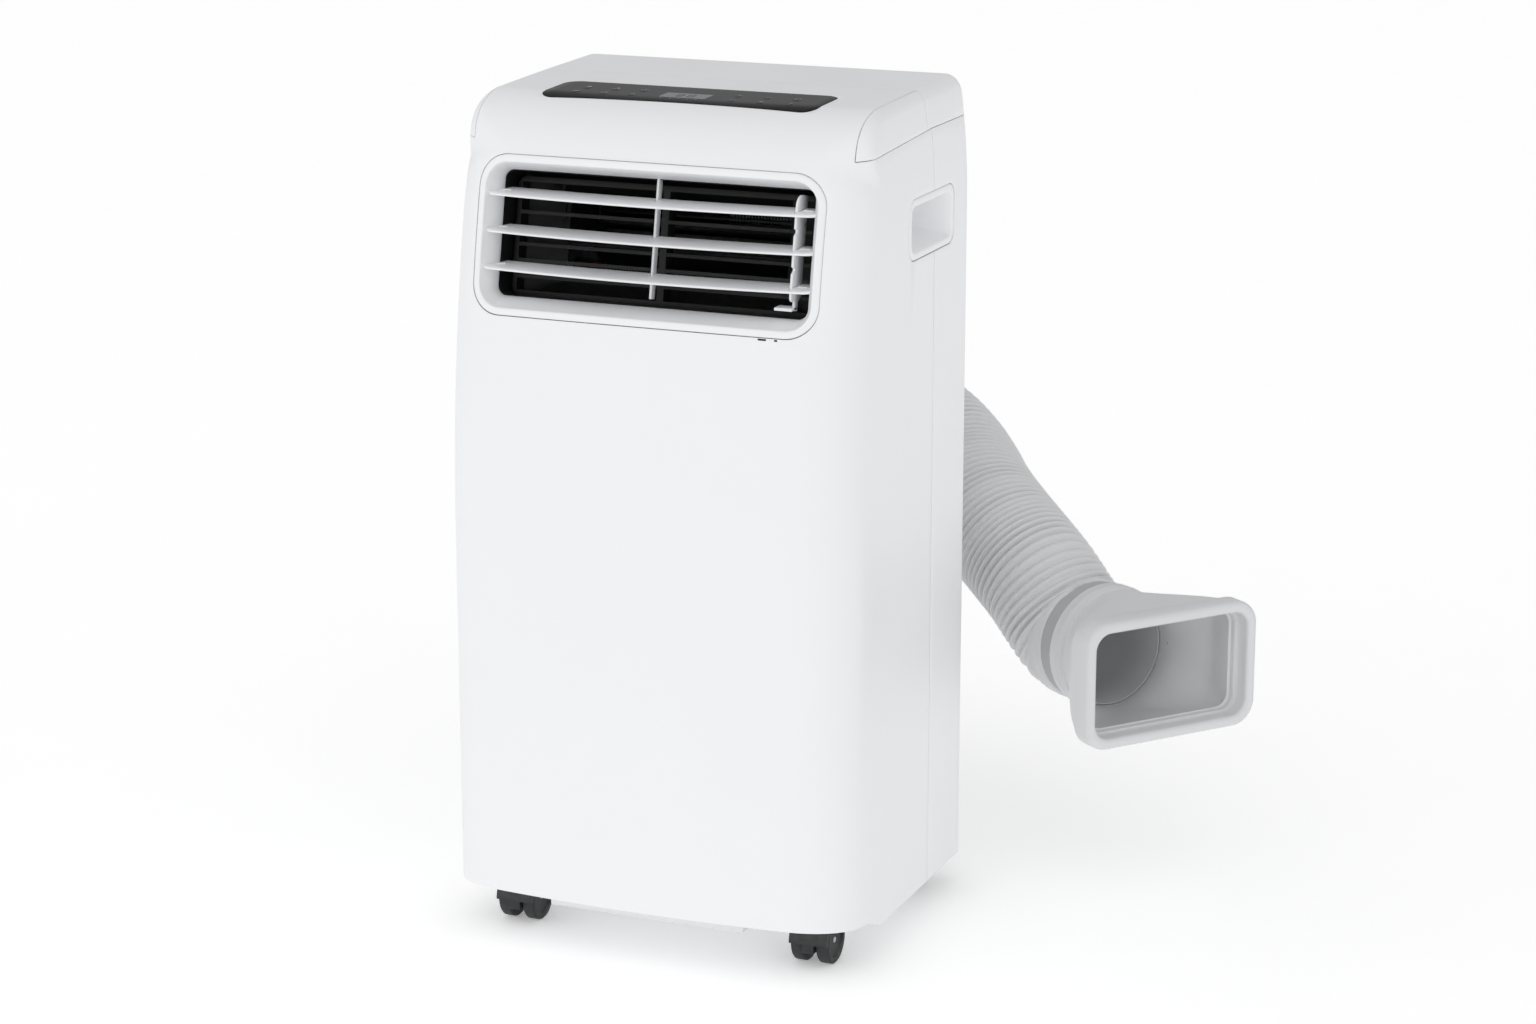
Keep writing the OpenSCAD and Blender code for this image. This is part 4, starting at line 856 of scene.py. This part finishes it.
def louver_blade(name, node):
    """Section loop swept along x. Front edge y_f(x) = 0.94 bow, plus a quarter ellipse near each tip; back edge
    y_b(x) drops in along the recess walls. Around the section, y = middle + half depth * shape, with
    thickness t * (1 - |shape|^14)^(1/2) so that both edges are round."""
    low, high = corners(node)
    mid_z = (low[2] + high[2]) / 2
    half = BLADE_HALF
    pin_y = low[1] + PIN_BACK
    x = half * np.sin(np.linspace(-np.pi / 2, np.pi / 2, BLADE_ACROSS))
    tip = np.clip((np.abs(x) - (half - 9 * MM)) / (9 * MM), 0, 1)
    front = low[1] + 1.2 * MM + bow_depth(x) * 0.94 + 9 * MM * (1 - np.sqrt(1 - tip**2))
    back = np.full_like(x, low[1] + 38 * MM)
    back += 0.6 * bow_depth(x)
    run_in = np.clip((np.abs(x) - BLADE_NECK) / (half - BLADE_NECK), 0, 1)
    back = np.where(np.abs(x) > BLADE_NECK, back - 4 * MM - run_in * 22 * MM, back)
    back = np.maximum(back, front + 0.6 * MM)
    a = np.linspace(0, 2 * np.pi, BLADE_AROUND, endpoint=False)
    along = -np.cos(a)
    shape = np.sign(along) * np.abs(along) ** 0.28
    thick = BLADE_T / 2 * np.sign(np.sin(a)) * np.clip(1 - np.abs(shape) ** 14, 0, 1) ** 0.5
    half_d = (back - front) / 2
    y = (front + half_d)[:, None] + half_d[:, None] * shape
    z = mid_z + thick[None, :] * np.minimum(1, half_d[:, None] / (2 * MM))
    grid = np.stack([np.broadcast_to(x[:, None], y.shape), y, z], -1)
    blade = tidy(make_object(name, grid, capped_faces(BLADE_AROUND, BLADE_ACROSS)))
    slot_x = link_high[0] - 1 * MM
    slots = []
    for slot_mid, ahead in ((0, 2 * MM), (slot_x, 14 * MM)):
        slots.append(block("slot", (slot_mid - SLOT_HALF, pin_y - ahead, mid_z - 9 * MM),
                           (slot_mid + SLOT_HALF, pin_y + 40 * MM, mid_z + 9 * MM)))
    boolean(blade, join("slots", slots), "DIFFERENCE")

    def across_blade(behind):
        """Place function of a pin along X, behind the blade's own axis."""
        return lambda u, v, d: np.stack([d, pin_y + behind + u, mid_z + v], -1)

    pins = [prism("pin", 2 * MM, 2 * MM, 2 * MM, lo, hi, across_blade(0), 5)
            for lo, hi in ((-133.4 * MM, -126 * MM), (126 * MM, 133.4 * MM))]
    pins.append(prism("link pin", 1.5 * MM, 1.5 * MM, 1.5 * MM, slot_x - 4 * MM, slot_x + 4 * MM,
                      across_blade(9 * MM), 5))
    return shade(join(name, [blade, *pins]), 45)


for part in ("louver_upper", "louver_middle", "louver_lower"):
    finish(louver_blade(part + "_blade", part), white_abs, part, "white_abs", part)


# %% [markdown]
# Some pieces are already the right shape in the frame and only lack what a mould adds: soft edges and
# smooth shading. One function takes a copy, welds it, drops the edges inside flat faces, and bevels.

# %% Soft-edged copies of frame pieces
def softened(node, width, mat, body, slot, angle=35, segments=2):
    """A welded copy of a frame node with its sharp edges rounded to width."""
    obj = copy_of(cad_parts[node], node + "_moulded")
    for key in list(obj.keys()):
        del obj[key]
    obj.parent = None
    tidy(obj, 0.005 * MM)
    work = bmesh.new()
    work.from_mesh(obj.data)
    bmesh.ops.dissolve_limit(work, angle_limit=math.radians(1.0), verts=work.verts, edges=work.edges)
    work.to_mesh(obj.data)
    work.free()
    if width:
        bevel(obj, width, segments, angle)
    shade(obj, angle)
    return finish(obj, mat, body, slot, node)


grille_black = moulded("matt black polypropylene", "#0C0C0D", 0.6, grain_mm=0.8, drift=0.1, dust=0.03)
softened("outlet_grille", 0.4 * MM, grille_black, "casing", "black_pp")
finish(shade(liner, 40), grille_black, "casing", "black_pp")

# %% [markdown]
# The link is an upright plate that crosses all three blades through their slots. Its front edge is
# notched midway between blades, its top is round, and its foot steps back to
# a small tab, by which a finger moves the row. In the middle a thin web steadies the blades.

# %% Link and middle web
def upright_plate(name, points, x0, x1):
    """A closed plate between two x planes from a (y, z) outline."""
    points = np.array(points, float)
    grid = np.array([[(x, y, z) for y, z in points] for x in (x0, x1)])
    return tidy(make_object(name, grid, capped_faces(len(points))))


def quarter(y, z, r, a0, a1, n=6):
    """Round corner: points at (y, z) + r (cos a, sin a)."""
    a = np.radians(np.linspace(a0, a1, n))
    return np.stack([y + r * np.cos(a), z + r * np.sin(a)], -1).tolist()


blade_pins = np.array([[corners(p)[0][1] + PIN_BACK, (corners(p)[0][2] + corners(p)[1][2]) / 2]
                       for p in ("louver_lower", "louver_middle", "louver_upper")])
lean = (blade_pins[2] - blade_pins[0]) / np.linalg.norm(blade_pins[2] - blade_pins[0])
across_lean = np.array([lean[1], -lean[0]])
profile = quarter(4, 33, 10, 180, 90) + [(15, 43), (15, -36), (9, -40), (9, -47), (2, -47), (2, -40)]
profile += quarter(-2, -36, 4, 270, 180)
for notch_z in (-14.7, 14.8):
    profile += [(-6, notch_z - 4), (-2.5, notch_z - 1), (-2.5, notch_z + 0.5), (-6, notch_z + 1.6)]
plate = np.array([blade_pins[1] + (p[0] * across_lean + p[1] * lean) * MM for p in profile])
link = upright_plate("louver_link_plate", plate[::-1], link_high[0] - 2 * MM, link_high[0])
foot = blade_pins[1] - 46 * MM * lean
tab = block("tab", (link_high[0] - 15 * MM, foot[0] - 3 * MM, foot[1] - 1.2 * MM),
            (link_high[0], foot[0] + 9 * MM, foot[1] + 1.2 * MM))
link = bevel(join("louver_link_plate", [link, tab]), 0.45 * MM, 2, 40)
finish(shade(link, 40), white_abs, "louver_link", "white_abs", "louver_link")
web_low, web_high = corners("centre_support")
web_points = np.array([blade_pins[1] + (a * across_lean + b * lean) * MM for a, b in (
    (3.5, -47), (10.5, -47), (10.5, 50), (6, 50), (4.2, 48.6), (3.5, 46))])
web = bevel(upright_plate("centre_web", web_points, web_low[0], web_high[0]), 0.3 * MM, 2, 40)
finish(shade(web, 40), white_abs, "casing", "white_abs", "centre_support")


# %% [markdown]
# A handle is a cup let into the side: a flat rim with round edges, then walls that lean in to a floor
# that lies a little higher, so that fingers find the upper edge.

# %% Handle cups
def handle_cup(name, side):
    """Loft of the rim, the sloping pocket and the back of the wall."""
    w, h = HANDLE_HALF - 0.2 * MM
    depth = 32 * MM
    # Inset, corner radius and depth of the rim, in mm
    steps = [(0.0, 12.0, 14.0), (0.0, 12.0, 0.9), (0.3, 11.7, 0.35), (1.0, 11.0, 0.1),
             (4.8, 8.6, 0.1), (5.6, 8.2, 0.4), (6.2, 8.0, 1.2)]
    stations = [(w - inset * MM, h - inset * MM, r * MM, d * MM) for inset, r, d in steps]
    for u in np.linspace(0, 1, 7)[1:]:
        stations.append((w - (6.2 + 10.5 * u) * MM, h - (6.2 + 5.6 * u) * MM, (8 - 2 * u) * MM,
                         (1.2 + 28.3 * u) * MM))
    stations += [(w - 17.6 * MM, h - 12.7 * MM, 5.4 * MM, 31.2 * MM),
                 (w - 19 * MM, h - 14.2 * MM, 4.6 * MM, depth)]

    def place(u, v, d):
        lift = np.clip(d, 0, depth) / depth * 3 * MM
        return in_handle(side)(u, v + lift, d)

    grid = denser(stations, 6)
    points = place(grid[..., 0], grid[..., 1], grid[..., 2])
    rows_n, cols_n = grid.shape[:2]
    pocket_floor = list(range((rows_n - 1) * cols_n, rows_n * cols_n))
    faces = grid_quads(rows_n, cols_n, wrap=True).tolist() + [pocket_floor]
    cup = make_object(name, points, faces)
    thick = cup.modifiers.new("wall", "SOLIDIFY")
    thick.thickness, thick.offset = 1.8 * MM, -1
    tidy(cup)
    apply_modifiers(cup)
    return shade(cup, 40)


for side, part in ((-1, "handle_left"), (1, "handle_right")):
    finish(handle_cup(part + "_cup", side), white_abs, "casing", "white_abs", part)

# %% [markdown]
# The hose ends in a cuff, which slips into the window adaptor: a round collar that flares to a wide
# rectangular mouth with a thick rolled rim and a ledge inside. All three are pale grey plastic, a shade
# darker than the casing. The hose goes back to the casing through a round socket with a flange.

# %% Cuff and window adaptor
def at_mouth(u, v, d):
    """Place function at the hose's end: u across the mouth, v up, depth along the adaptor."""
    return (hose_end + u[..., None] * MOUTH_SIDE + v[..., None] * np.array([0, 0, 1.0])
            + np.asarray(d, float)[..., None] * MOUTH_DIR)


def turned(name, profile, place):
    """A body of revolution: circles of (radius, depth) stations, in mm, joined into a closed ring."""
    return ring_body(name, [(r * MM, r * MM, r * MM * 0.9999, d * MM) for r, d in profile], place, 1)


cuff = turned("hose_cuff_ring", [
    (50.5, 0), (53.6, 0), (54.6, 0.6), (55.0, 1.6), (55.0, 7.5), (55.3, 8.2), (55.3, 9.4), (55.0, 10.1),
    (55.0, 17.0), (54.8, 18.2), (54.0, 18.9), (53.0, 19.4), (52.8, 20.5), (52.8, 53.0), (50.5, 53.0)], at_mouth)
shade(cuff, 40)

ROUND_R, RIM_D, FLARE_D = 54.6, 22.0, 90.0
MOUTH_W, MOUTH_H = 88.0, 56.0


def flare_stations(inset, d0, d1, count):
    """From a circle to the mouth's rectangle: half sizes and corner radius follow a smooth step of depth."""
    out = []
    for u in np.linspace(0, 1, count):
        k = float(smooth_step(u)) * 0.82 + 0.18 * u
        r0 = ROUND_R - inset
        w, h = MOUTH_W - 5 - inset, MOUTH_H - 3.5 - inset
        out.append((r0 + (w - r0) * k, r0 + (h - r0) * k, r0 * 0.9999 + (17 - r0) * k, d0 + (d1 - d0) * u))
    return out


CUFF_L = 53.0
rim_back, rim_front = CUFF_L + FLARE_D - RIM_D, CUFF_L + FLARE_D
# The round collar, as radius and depth in mm
collar = [(53.2, 37.0), (55.4, 37.0), (56.0, 37.7), (56.0, 45.5), (56.4, 46.3), (56.4, 47.3), (56.0, 48.0),
          (56.0, 53.5), (55.6, 54.6), (54.8, 55.0)]
adaptor_mm = [(radius, radius, radius - 0.1, d) for radius, d in collar]
adaptor_mm += flare_stations(0, 56.0, rim_back - 1.2, 15)
adaptor_mm += [(83.6, 53.1, 18.0, rim_back - 0.4), (85.6, 54.2, 20.0, rim_back + 0.2),
               (87.2, 55.4, 21.4, rim_back + 1.2),
               (88.0, 56.0, 22.0, rim_back + 3.0), (88.0, 56.0, 22.0, rim_front - 4.0),
               (87.5, 55.5, 21.6, rim_front - 2.2), (86.2, 54.2, 20.6, rim_front - 0.7),
               (84.4, 52.4, 19.2, rim_front), (81.6, 49.6, 17.2, rim_front),
               (79.8, 47.8, 15.8, rim_front - 0.6), (78.6, 46.6, 14.8, rim_front - 2.0),
               (78.2, 46.2, 14.4, rim_front - 4.2), (78.2, 46.2, 14.4, rim_front - 13.0),
               (77.8, 45.8, 14.2, rim_front - 14.0), (74.6, 44.2, 12.6, rim_front - 14.4),
               (74.0, 43.8, 12.2, rim_front - 15.4), (74.0, 43.8, 12.2, rim_front - 19.0),
               (72.0, 42.6, 12.0, rim_front - 20.0)]
inside_run = flare_stations(3.0, 56.0, rim_front - 22.0, 12)[::-1]
adaptor_mm += [(min(w, 72.0), min(h, 50.9), min(r, h), d) for w, h, r, d in inside_run]
adaptor_mm += [(51.2, 51.2, 51.1, 53.0), (51.2, 51.2, 51.1, 44.0), (53.2, 53.2, 53.1, 43.0)]
adaptor = ring_body("window_adaptor_body", [(w * MM, h * MM, r * MM, d * MM) for w, h, r, d in adaptor_mm],
                    at_mouth, 8)
shade(adaptor, 40)
print("adaptor mouth", 2 * MOUTH_W, "x", 2 * MOUTH_H, "mm")

hose_pp = moulded("light grey polypropylene, hose", "#DADBDC", 0.5, grain_mm=1.6, grain_depth=0.02,
                  drift=0.03, dust=0.12)
adaptor_abs = moulded("light grey ABS, adaptor", "#D9DADC", 0.45, grain_mm=1.0, grain_depth=0.015, drift=0.02)
finish(hose, hose_pp, "casing", "hose_pp", "exhaust_hose")
finish(cuff, adaptor_abs, "casing", "adaptor_abs", "hose_cuff")
# The narrower part of the cuff is a softer, darker sleeve
cuff.data.materials.append(moulded("mid grey polypropylene, sleeve", "#B2B3B5", 0.5, grain_mm=1.2, drift=0.03))
middles = np.empty(len(cuff.data.polygons) * 3)
cuff.data.polygons.foreach_get("center", middles)
deep = (middles.reshape(-1, 3) - hose_end) @ MOUTH_DIR > 19.2 * MM
cuff.data.polygons.foreach_set("material_index", deep.astype(np.int32))
finish(adaptor, adaptor_abs, "casing", "adaptor_abs", "window_adaptor")

# %% Socket at the back
def at_socket(u, v, d):
    """Place function of the round socket: depth runs to the back from the rear wall."""
    return np.stack([SOCKET_X + u, BACK_Y + d, SOCKET_Z + v], -1)


socket = turned("exhaust_socket_body", [
    (53.2, -22), (60, -22), (60, -2.5), (61.8, -2.5), (61.8, 0.05), (65.2, 0.05), (66, 0.8), (66, 3.2),
    (65.2, 4), (61.5, 4), (60.3, 4.6), (60, 6), (60, 35.2), (60.6, 36), (61.4, 36), (62, 36.8), (62, 43),
    (61.2, 44), (58.4, 44), (56.4, 43), (55.6, 41), (55.6, 2), (53.2, 0)], at_socket)
shade(socket, 40)
finish(socket, inner_abs, "casing", "white_abs", "exhaust_socket")

# %% [markdown]
# The touch panel is a sheet of smoked acrylic set into the lid: gloss black, with grey printed signs
# on the surface and a grey display window in the middle. The signs are generic: rings, bars, drops
# and stars, as thin raised film so that they stay crisp from close up.

# %% Black glass, display and signs
glass = moulded("gloss black acrylic", "#161617", 0.2, grain_mm=6.0, grain_depth=0.001, drift=0.05, ior=1.13,
                spread=0.03)
finish(touch_panel, glass, "casing", "panel_glass", "touch_panel")
display_low, display_high = corners("display_window")


def lid_height(y):
    """Height of the lid's outer surface in its middle, from the side outline."""
    points, _, _, _ = side_outline(0, LOW_Z)
    up = points[(points[:, 1] > TOP_Z - 40 * MM) & (points[:, 0] < BACK_Y - 20 * MM)]
    return np.interp(y, up[:, 0], up[:, 1])


def on_lid(name, shapes, lift, thick):
    """Flat outlines of (x, y) points laid on the lid, each as a closed film of its own."""
    points, faces = [], []
    for shape in shapes:
        shape = np.array(shape)
        start = len(points)
        z = lid_height(shape[:, 1])
        for k in (lift - thick, lift):
            points += np.column_stack([shape, z + k]).tolist()
        faces += capped_faces(len(shape), start=start)
    return tidy(make_object(name, points, faces), 0.001 * MM)


display_mid = (display_low + display_high) / 2
display_half = (display_high - display_low) / 2
window = on_lid("display_film", [outline(*display_half[:2], 1.5 * MM, 6) + display_mid[:2]],
                0.12 * MM, 1.2 * MM)
display_grey = moulded("smoked display window", "#5B5F63", 0.16, grain_mm=3.0, grain_depth=0.002, drift=0.05)
finish(shade(window), display_grey, "casing", "display", "display_window")


def ring_sign(r_out, r_in, n=28):
    """An open ring as one outline: out along the outer circle, back along the inner one."""
    a = np.radians(np.linspace(100, 440, n))
    circle = np.stack([np.cos(a), np.sin(a)], -1)
    return np.concatenate([circle * r_out, circle[::-1] * r_in])


def bar(w, h, angle=0.0, at=(0.0, 0.0)):
    """A slim bar turned by angle degrees."""
    c, s = math.cos(math.radians(angle)), math.sin(math.radians(angle))
    p = np.array([[-w, -h], [w, -h], [w, h], [-w, h]]) / 2
    return p @ np.array([[c, s], [-s, c]]) + at


def drop(r, n=20):
    """A water drop: a circle whose upper half is pulled to a point."""
    a = np.linspace(0, 2 * np.pi, n, endpoint=False)
    y = np.sin(a)
    return np.stack([np.cos(a) * np.where(y > 0, (1 - y) ** 0.6, 1), np.where(y > 0, y * 1.5, y)], -1) * r


def disc(r, n=16):
    """A round dot."""
    a = np.linspace(0, 2 * np.pi, n, endpoint=False)
    return np.stack([np.cos(a), np.sin(a)], -1) * r


def fan_blade(t):
    """One of the fan sign's three blades, at the angle t in radians."""
    turn = np.array([[math.cos(t), math.sin(t)], [-math.sin(t), math.cos(t)]])
    return drop(1.1) @ turn + 1.9 * np.array([math.cos(t + 1.57), math.sin(t + 1.57)])


signs = {
    "power": [ring_sign(2.6, 2.1), bar(0.5, 2.6, 0, (0, 1.7))],
    "fan": [disc(0.7)] + [fan_blade(t) for t in (0, 2.094, 4.189)],
    "drop": [drop(2.0)],
    "star": [bar(0.45, 5.2, t) for t in (0, 60, 120)],
    "timer": [ring_sign(2.6, 2.1), bar(0.45, 1.8, 0, (0, 0.8)), bar(1.5, 0.45, 0, (0.6, 0))],
    "waves": [bar(4.6, 0.45, 0, (0, k)) for k in (-1.4, 0, 1.4)],
    "plus": [bar(0.5, 3.6), bar(3.6, 0.5)],
    "minus": [bar(3.6, 0.5)],
    "night": [ring_sign(2.4, 1.7)],
    "swing": [bar(4.0, 0.45, 25), bar(4.0, 0.45, -25)],
    "lock": [bar(3.0, 2.4, 0, (0, -0.8)), ring_sign(1.4, 1.0) + [0, 0.6]],
    "mode": [bar(1.6, 1.6, 45), bar(0.4, 4.6)],
}
names = list(signs)
film, caption = [], []
for side in (-1, 1):
    for row, back in ((0, 7.5), (1, -12.5)):
        for k in range(3):
            sign = signs[names[(side > 0) * 6 + row * 3 + k]]
            x = side * (41.0 + 25.0 * k + 2.0 * row)
            centre = np.array([x, PANEL_Y / MM + back])
            film += [(np.asarray(p) * 1.12 + centre) * MM for p in sign]
            caption.append((bar(5.2, 0.35, 0, centre - [0, 5.4])) * MM)
for k in range(5):
    film.append((disc(0.75) + [(k - 2) * 7.5, PANEL_Y / MM - 21.0]) * MM)
# Two dim figure outlines behind the display
for k in (-1, 1):
    for at, w, h in (((0, 5), 4.2, 0.5), ((0, 0), 4.2, 0.5), ((0, -5), 4.2, 0.5), ((-2.4, 2.5), 0.5, 4.2),
                     ((2.4, 2.5), 0.5, 4.2), ((-2.4, -2.5), 0.5, 4.2), ((2.4, -2.5), 0.5, 4.2)):
        caption.append((bar(w, h, 0, np.array(at) + [k * 4.8, display_mid[1] / MM])) * MM)
sign_ink = moulded("grey printed signs", "#8E9093", 0.5, grain_mm=1.5, drift=0.02)
caption_ink = moulded("dim printed captions", "#56585B", 0.5, grain_mm=1.5, drift=0.02)
finish(on_lid("touch_signs", film, 0.24 * MM, 0.2 * MM), sign_ink, "casing", "display")
finish(on_lid("touch_captions", caption, 0.24 * MM, 0.2 * MM), caption_ink, "casing", "display")
print("signs on the panel:", len(film), "and captions:", len(caption))

# %% [markdown]
# Under the casing stand four twin-wheel castors: a black nylon hood, two wheels with a softer tread, and
# a steel axle. The base pan shows below the front edge. They all come from the frame with soft edges.

# %% Base and castors
base_white = moulded("white ABS, base pan", "#E6E7E9", 0.5, grain_mm=1.0, grain_depth=0.015, drift=0.03,
                     dust=0.2)
nylon = moulded("black glass-filled nylon", "#1B1C1E", 0.45, grain_mm=0.8, grain_depth=0.02, drift=0.12,
                dust=0.2, worn="#3A3B3D")
tread = moulded("dark grey polyurethane tread", "#242527", 0.6, grain_mm=1.4, grain_depth=0.04, drift=0.15,
                dust=0.35, worn="#4A4A4A")
steel = moulded("zinc-plated steel", "#B9BCC0", 0.32, grain_mm=0.5, grain_depth=0.01, drift=0.06,
                metallic=1.0)
softened("base_pan", 0.6 * MM, base_white, "casing", "white_abs")
for spot in ("front_left", "front_right", "rear_left", "rear_right"):
    softened("castor_" + spot, 0.7 * MM, nylon, "castor_" + spot, "black_nylon", 40, 2)
    softened("axle_" + spot, 0.4 * MM, steel, "castor_" + spot, "zinc_steel", 40, 1)
    softened("wheels_" + spot, 0.7 * MM, tread, "wheels_" + spot, "castor_tread", 30, 2)

# %% [markdown]
# At the back, two intake grilles unclip with a mesh filter behind each. Rubber plugs close the two
# drains, a black gland marks where a mains cord goes in, and zinc screws hold the rear panel.

# %% Back
filter_net = moulded("grey nylon mesh", "#3C3F44", 0.7, grain_mm=1.1, grain_depth=0.2, drift=0.2, dust=0.5)
rubber = moulded("black EPDM rubber", "#1A1A1B", 0.75, grain_mm=1.0, grain_depth=0.03, drift=0.15, dust=0.4)
for part in ("upper", "lower"):
    body = part + "_filter"
    softened(part + "_grille", 0.45 * MM, white_abs, body, "white_abs")
    softened(part + "_filter", 0.2 * MM, filter_net, body, "filter_mesh")
    softened(part + "_drain_plug", 0.5 * MM, rubber, part + "_drain_plug", "rubber")
softened("mains_gland", 0.5 * MM, rubber, "casing", "rubber")
softened("shell_screws", 0.25 * MM, steel, "casing", "zinc_steel", 40, 1)

# %% [markdown]
# The works inside are seen only through the grilles, or when the covers are off, yet each has its own
# finish: a painted compressor, finned aluminium coils with copper bends, steel motors, and pale housings.

# %% Finishes of the works
coil_metal, tree, shader, place = new_material("finned aluminium coil")
bands = {"wave_type": "BANDS", "bands_direction": "X", "wave_profile": "SIN"}
across = add_node(tree, "ShaderNodeTexWave", bands, Vector=place, Scale=110.0, Distortion=0.4, Detail=1.0)
# The bands stand for the fins: the dark colour is painted shade in the gaps between fins, the light one is the
# aluminium of the fins
fin_colour_and_gap_shade = add_node(tree, "ShaderNodeMix", {"data_type": "RGBA"}, Factor=(across, "Fac"))
fin_colour_and_gap_shade.inputs[6].default_value, fin_colour_and_gap_shade.inputs[7].default_value = linear("#6F7377"), linear("#C6CACE")
tree.links.new(fin_colour_and_gap_shade.outputs[2], shader.inputs["Base Color"])
shader.inputs["Metallic"].default_value, shader.inputs["Roughness"].default_value = 1.0, 0.38
ridge = add_node(tree, "ShaderNodeBump", Height=(across, "Fac"), Strength=0.8, Distance=0.5 * MM)
tree.links.new(ridge.outputs["Normal"], shader.inputs["Normal"])
copper = moulded("drawn copper tube", "#B4673A", 0.3, grain_mm=1.0, grain_depth=0.008, drift=0.18, metallic=1.0)
black_paint = moulded("black enamelled steel", "#1D1E20", 0.35, grain_mm=2.0, grain_depth=0.03,
                      drift=0.1, dust=0.3)
motor_steel = moulded("galvanised motor steel", "#9A9DA1", 0.42, grain_mm=3.0, grain_depth=0.02,
                      drift=0.15, metallic=1.0)
can_alu = moulded("drawn aluminium can", "#C3C6C9", 0.3, grain_mm=0.7, grain_depth=0.008,
                  drift=0.08, metallic=1.0)
inner_pp = moulded("natural polypropylene", "#DCDDDD", 0.55, grain_mm=1.0, grain_depth=0.02,
                   drift=0.05, dust=0.25)
black_pp = moulded("black polypropylene", "#1A1B1D", 0.5, grain_mm=1.0, grain_depth=0.02, drift=0.1, dust=0.25)
board_green = moulded("green epoxy circuit board", "#1F4A35", 0.35, grain_mm=1.2, grain_depth=0.03, drift=0.12)
works = [
    ("control_board", board_green, "casing", "circuit_board", 0.0),
    ("compressor", black_paint, "casing", "black_painted_steel", 1.5),
    ("compressor_feet", rubber, "casing", "rubber", 0.8),
    ("condenser", coil_metal, "casing", "coil_aluminium", 0.3),
    ("evaporator", coil_metal, "casing", "coil_aluminium", 0.3),
    ("discharge_pipe", copper, "casing", "copper_tube", 0.0),
    ("suction_pipe", copper, "casing", "copper_tube", 0.0),
    ("lower_fan_wheel", black_pp, "lower_fan", "black_pp", 0.0),
    ("upper_fan_wheel", black_pp, "upper_fan", "black_pp", 0.0),
    ("lower_fan_motor", motor_steel, "casing", "motor_steel", 1.0),
    ("upper_fan_motor", motor_steel, "casing", "motor_steel", 1.0),
    ("lower_fan_housing", inner_pp, "casing", "inner_pp", 0.5),
    ("upper_fan_housing", black_pp, "casing", "black_pp", 0.5),
    ("water_tray", inner_pp, "casing", "inner_pp", 0.6),
    ("electric_box", inner_pp, "casing", "inner_pp", 0.6),
    ("run_capacitor", can_alu, "casing", "capacitor_can", 1.0),
    ("splash_wheel", black_pp, "splash_wheel", "black_pp", 0.3),
    ("splash_motor", motor_steel, "casing", "motor_steel", 0.8)]
for part, mat, body, slot_name, width in works:
    softened(part, width * MM, mat, body, slot_name)
print("pieces inside:", len(works))
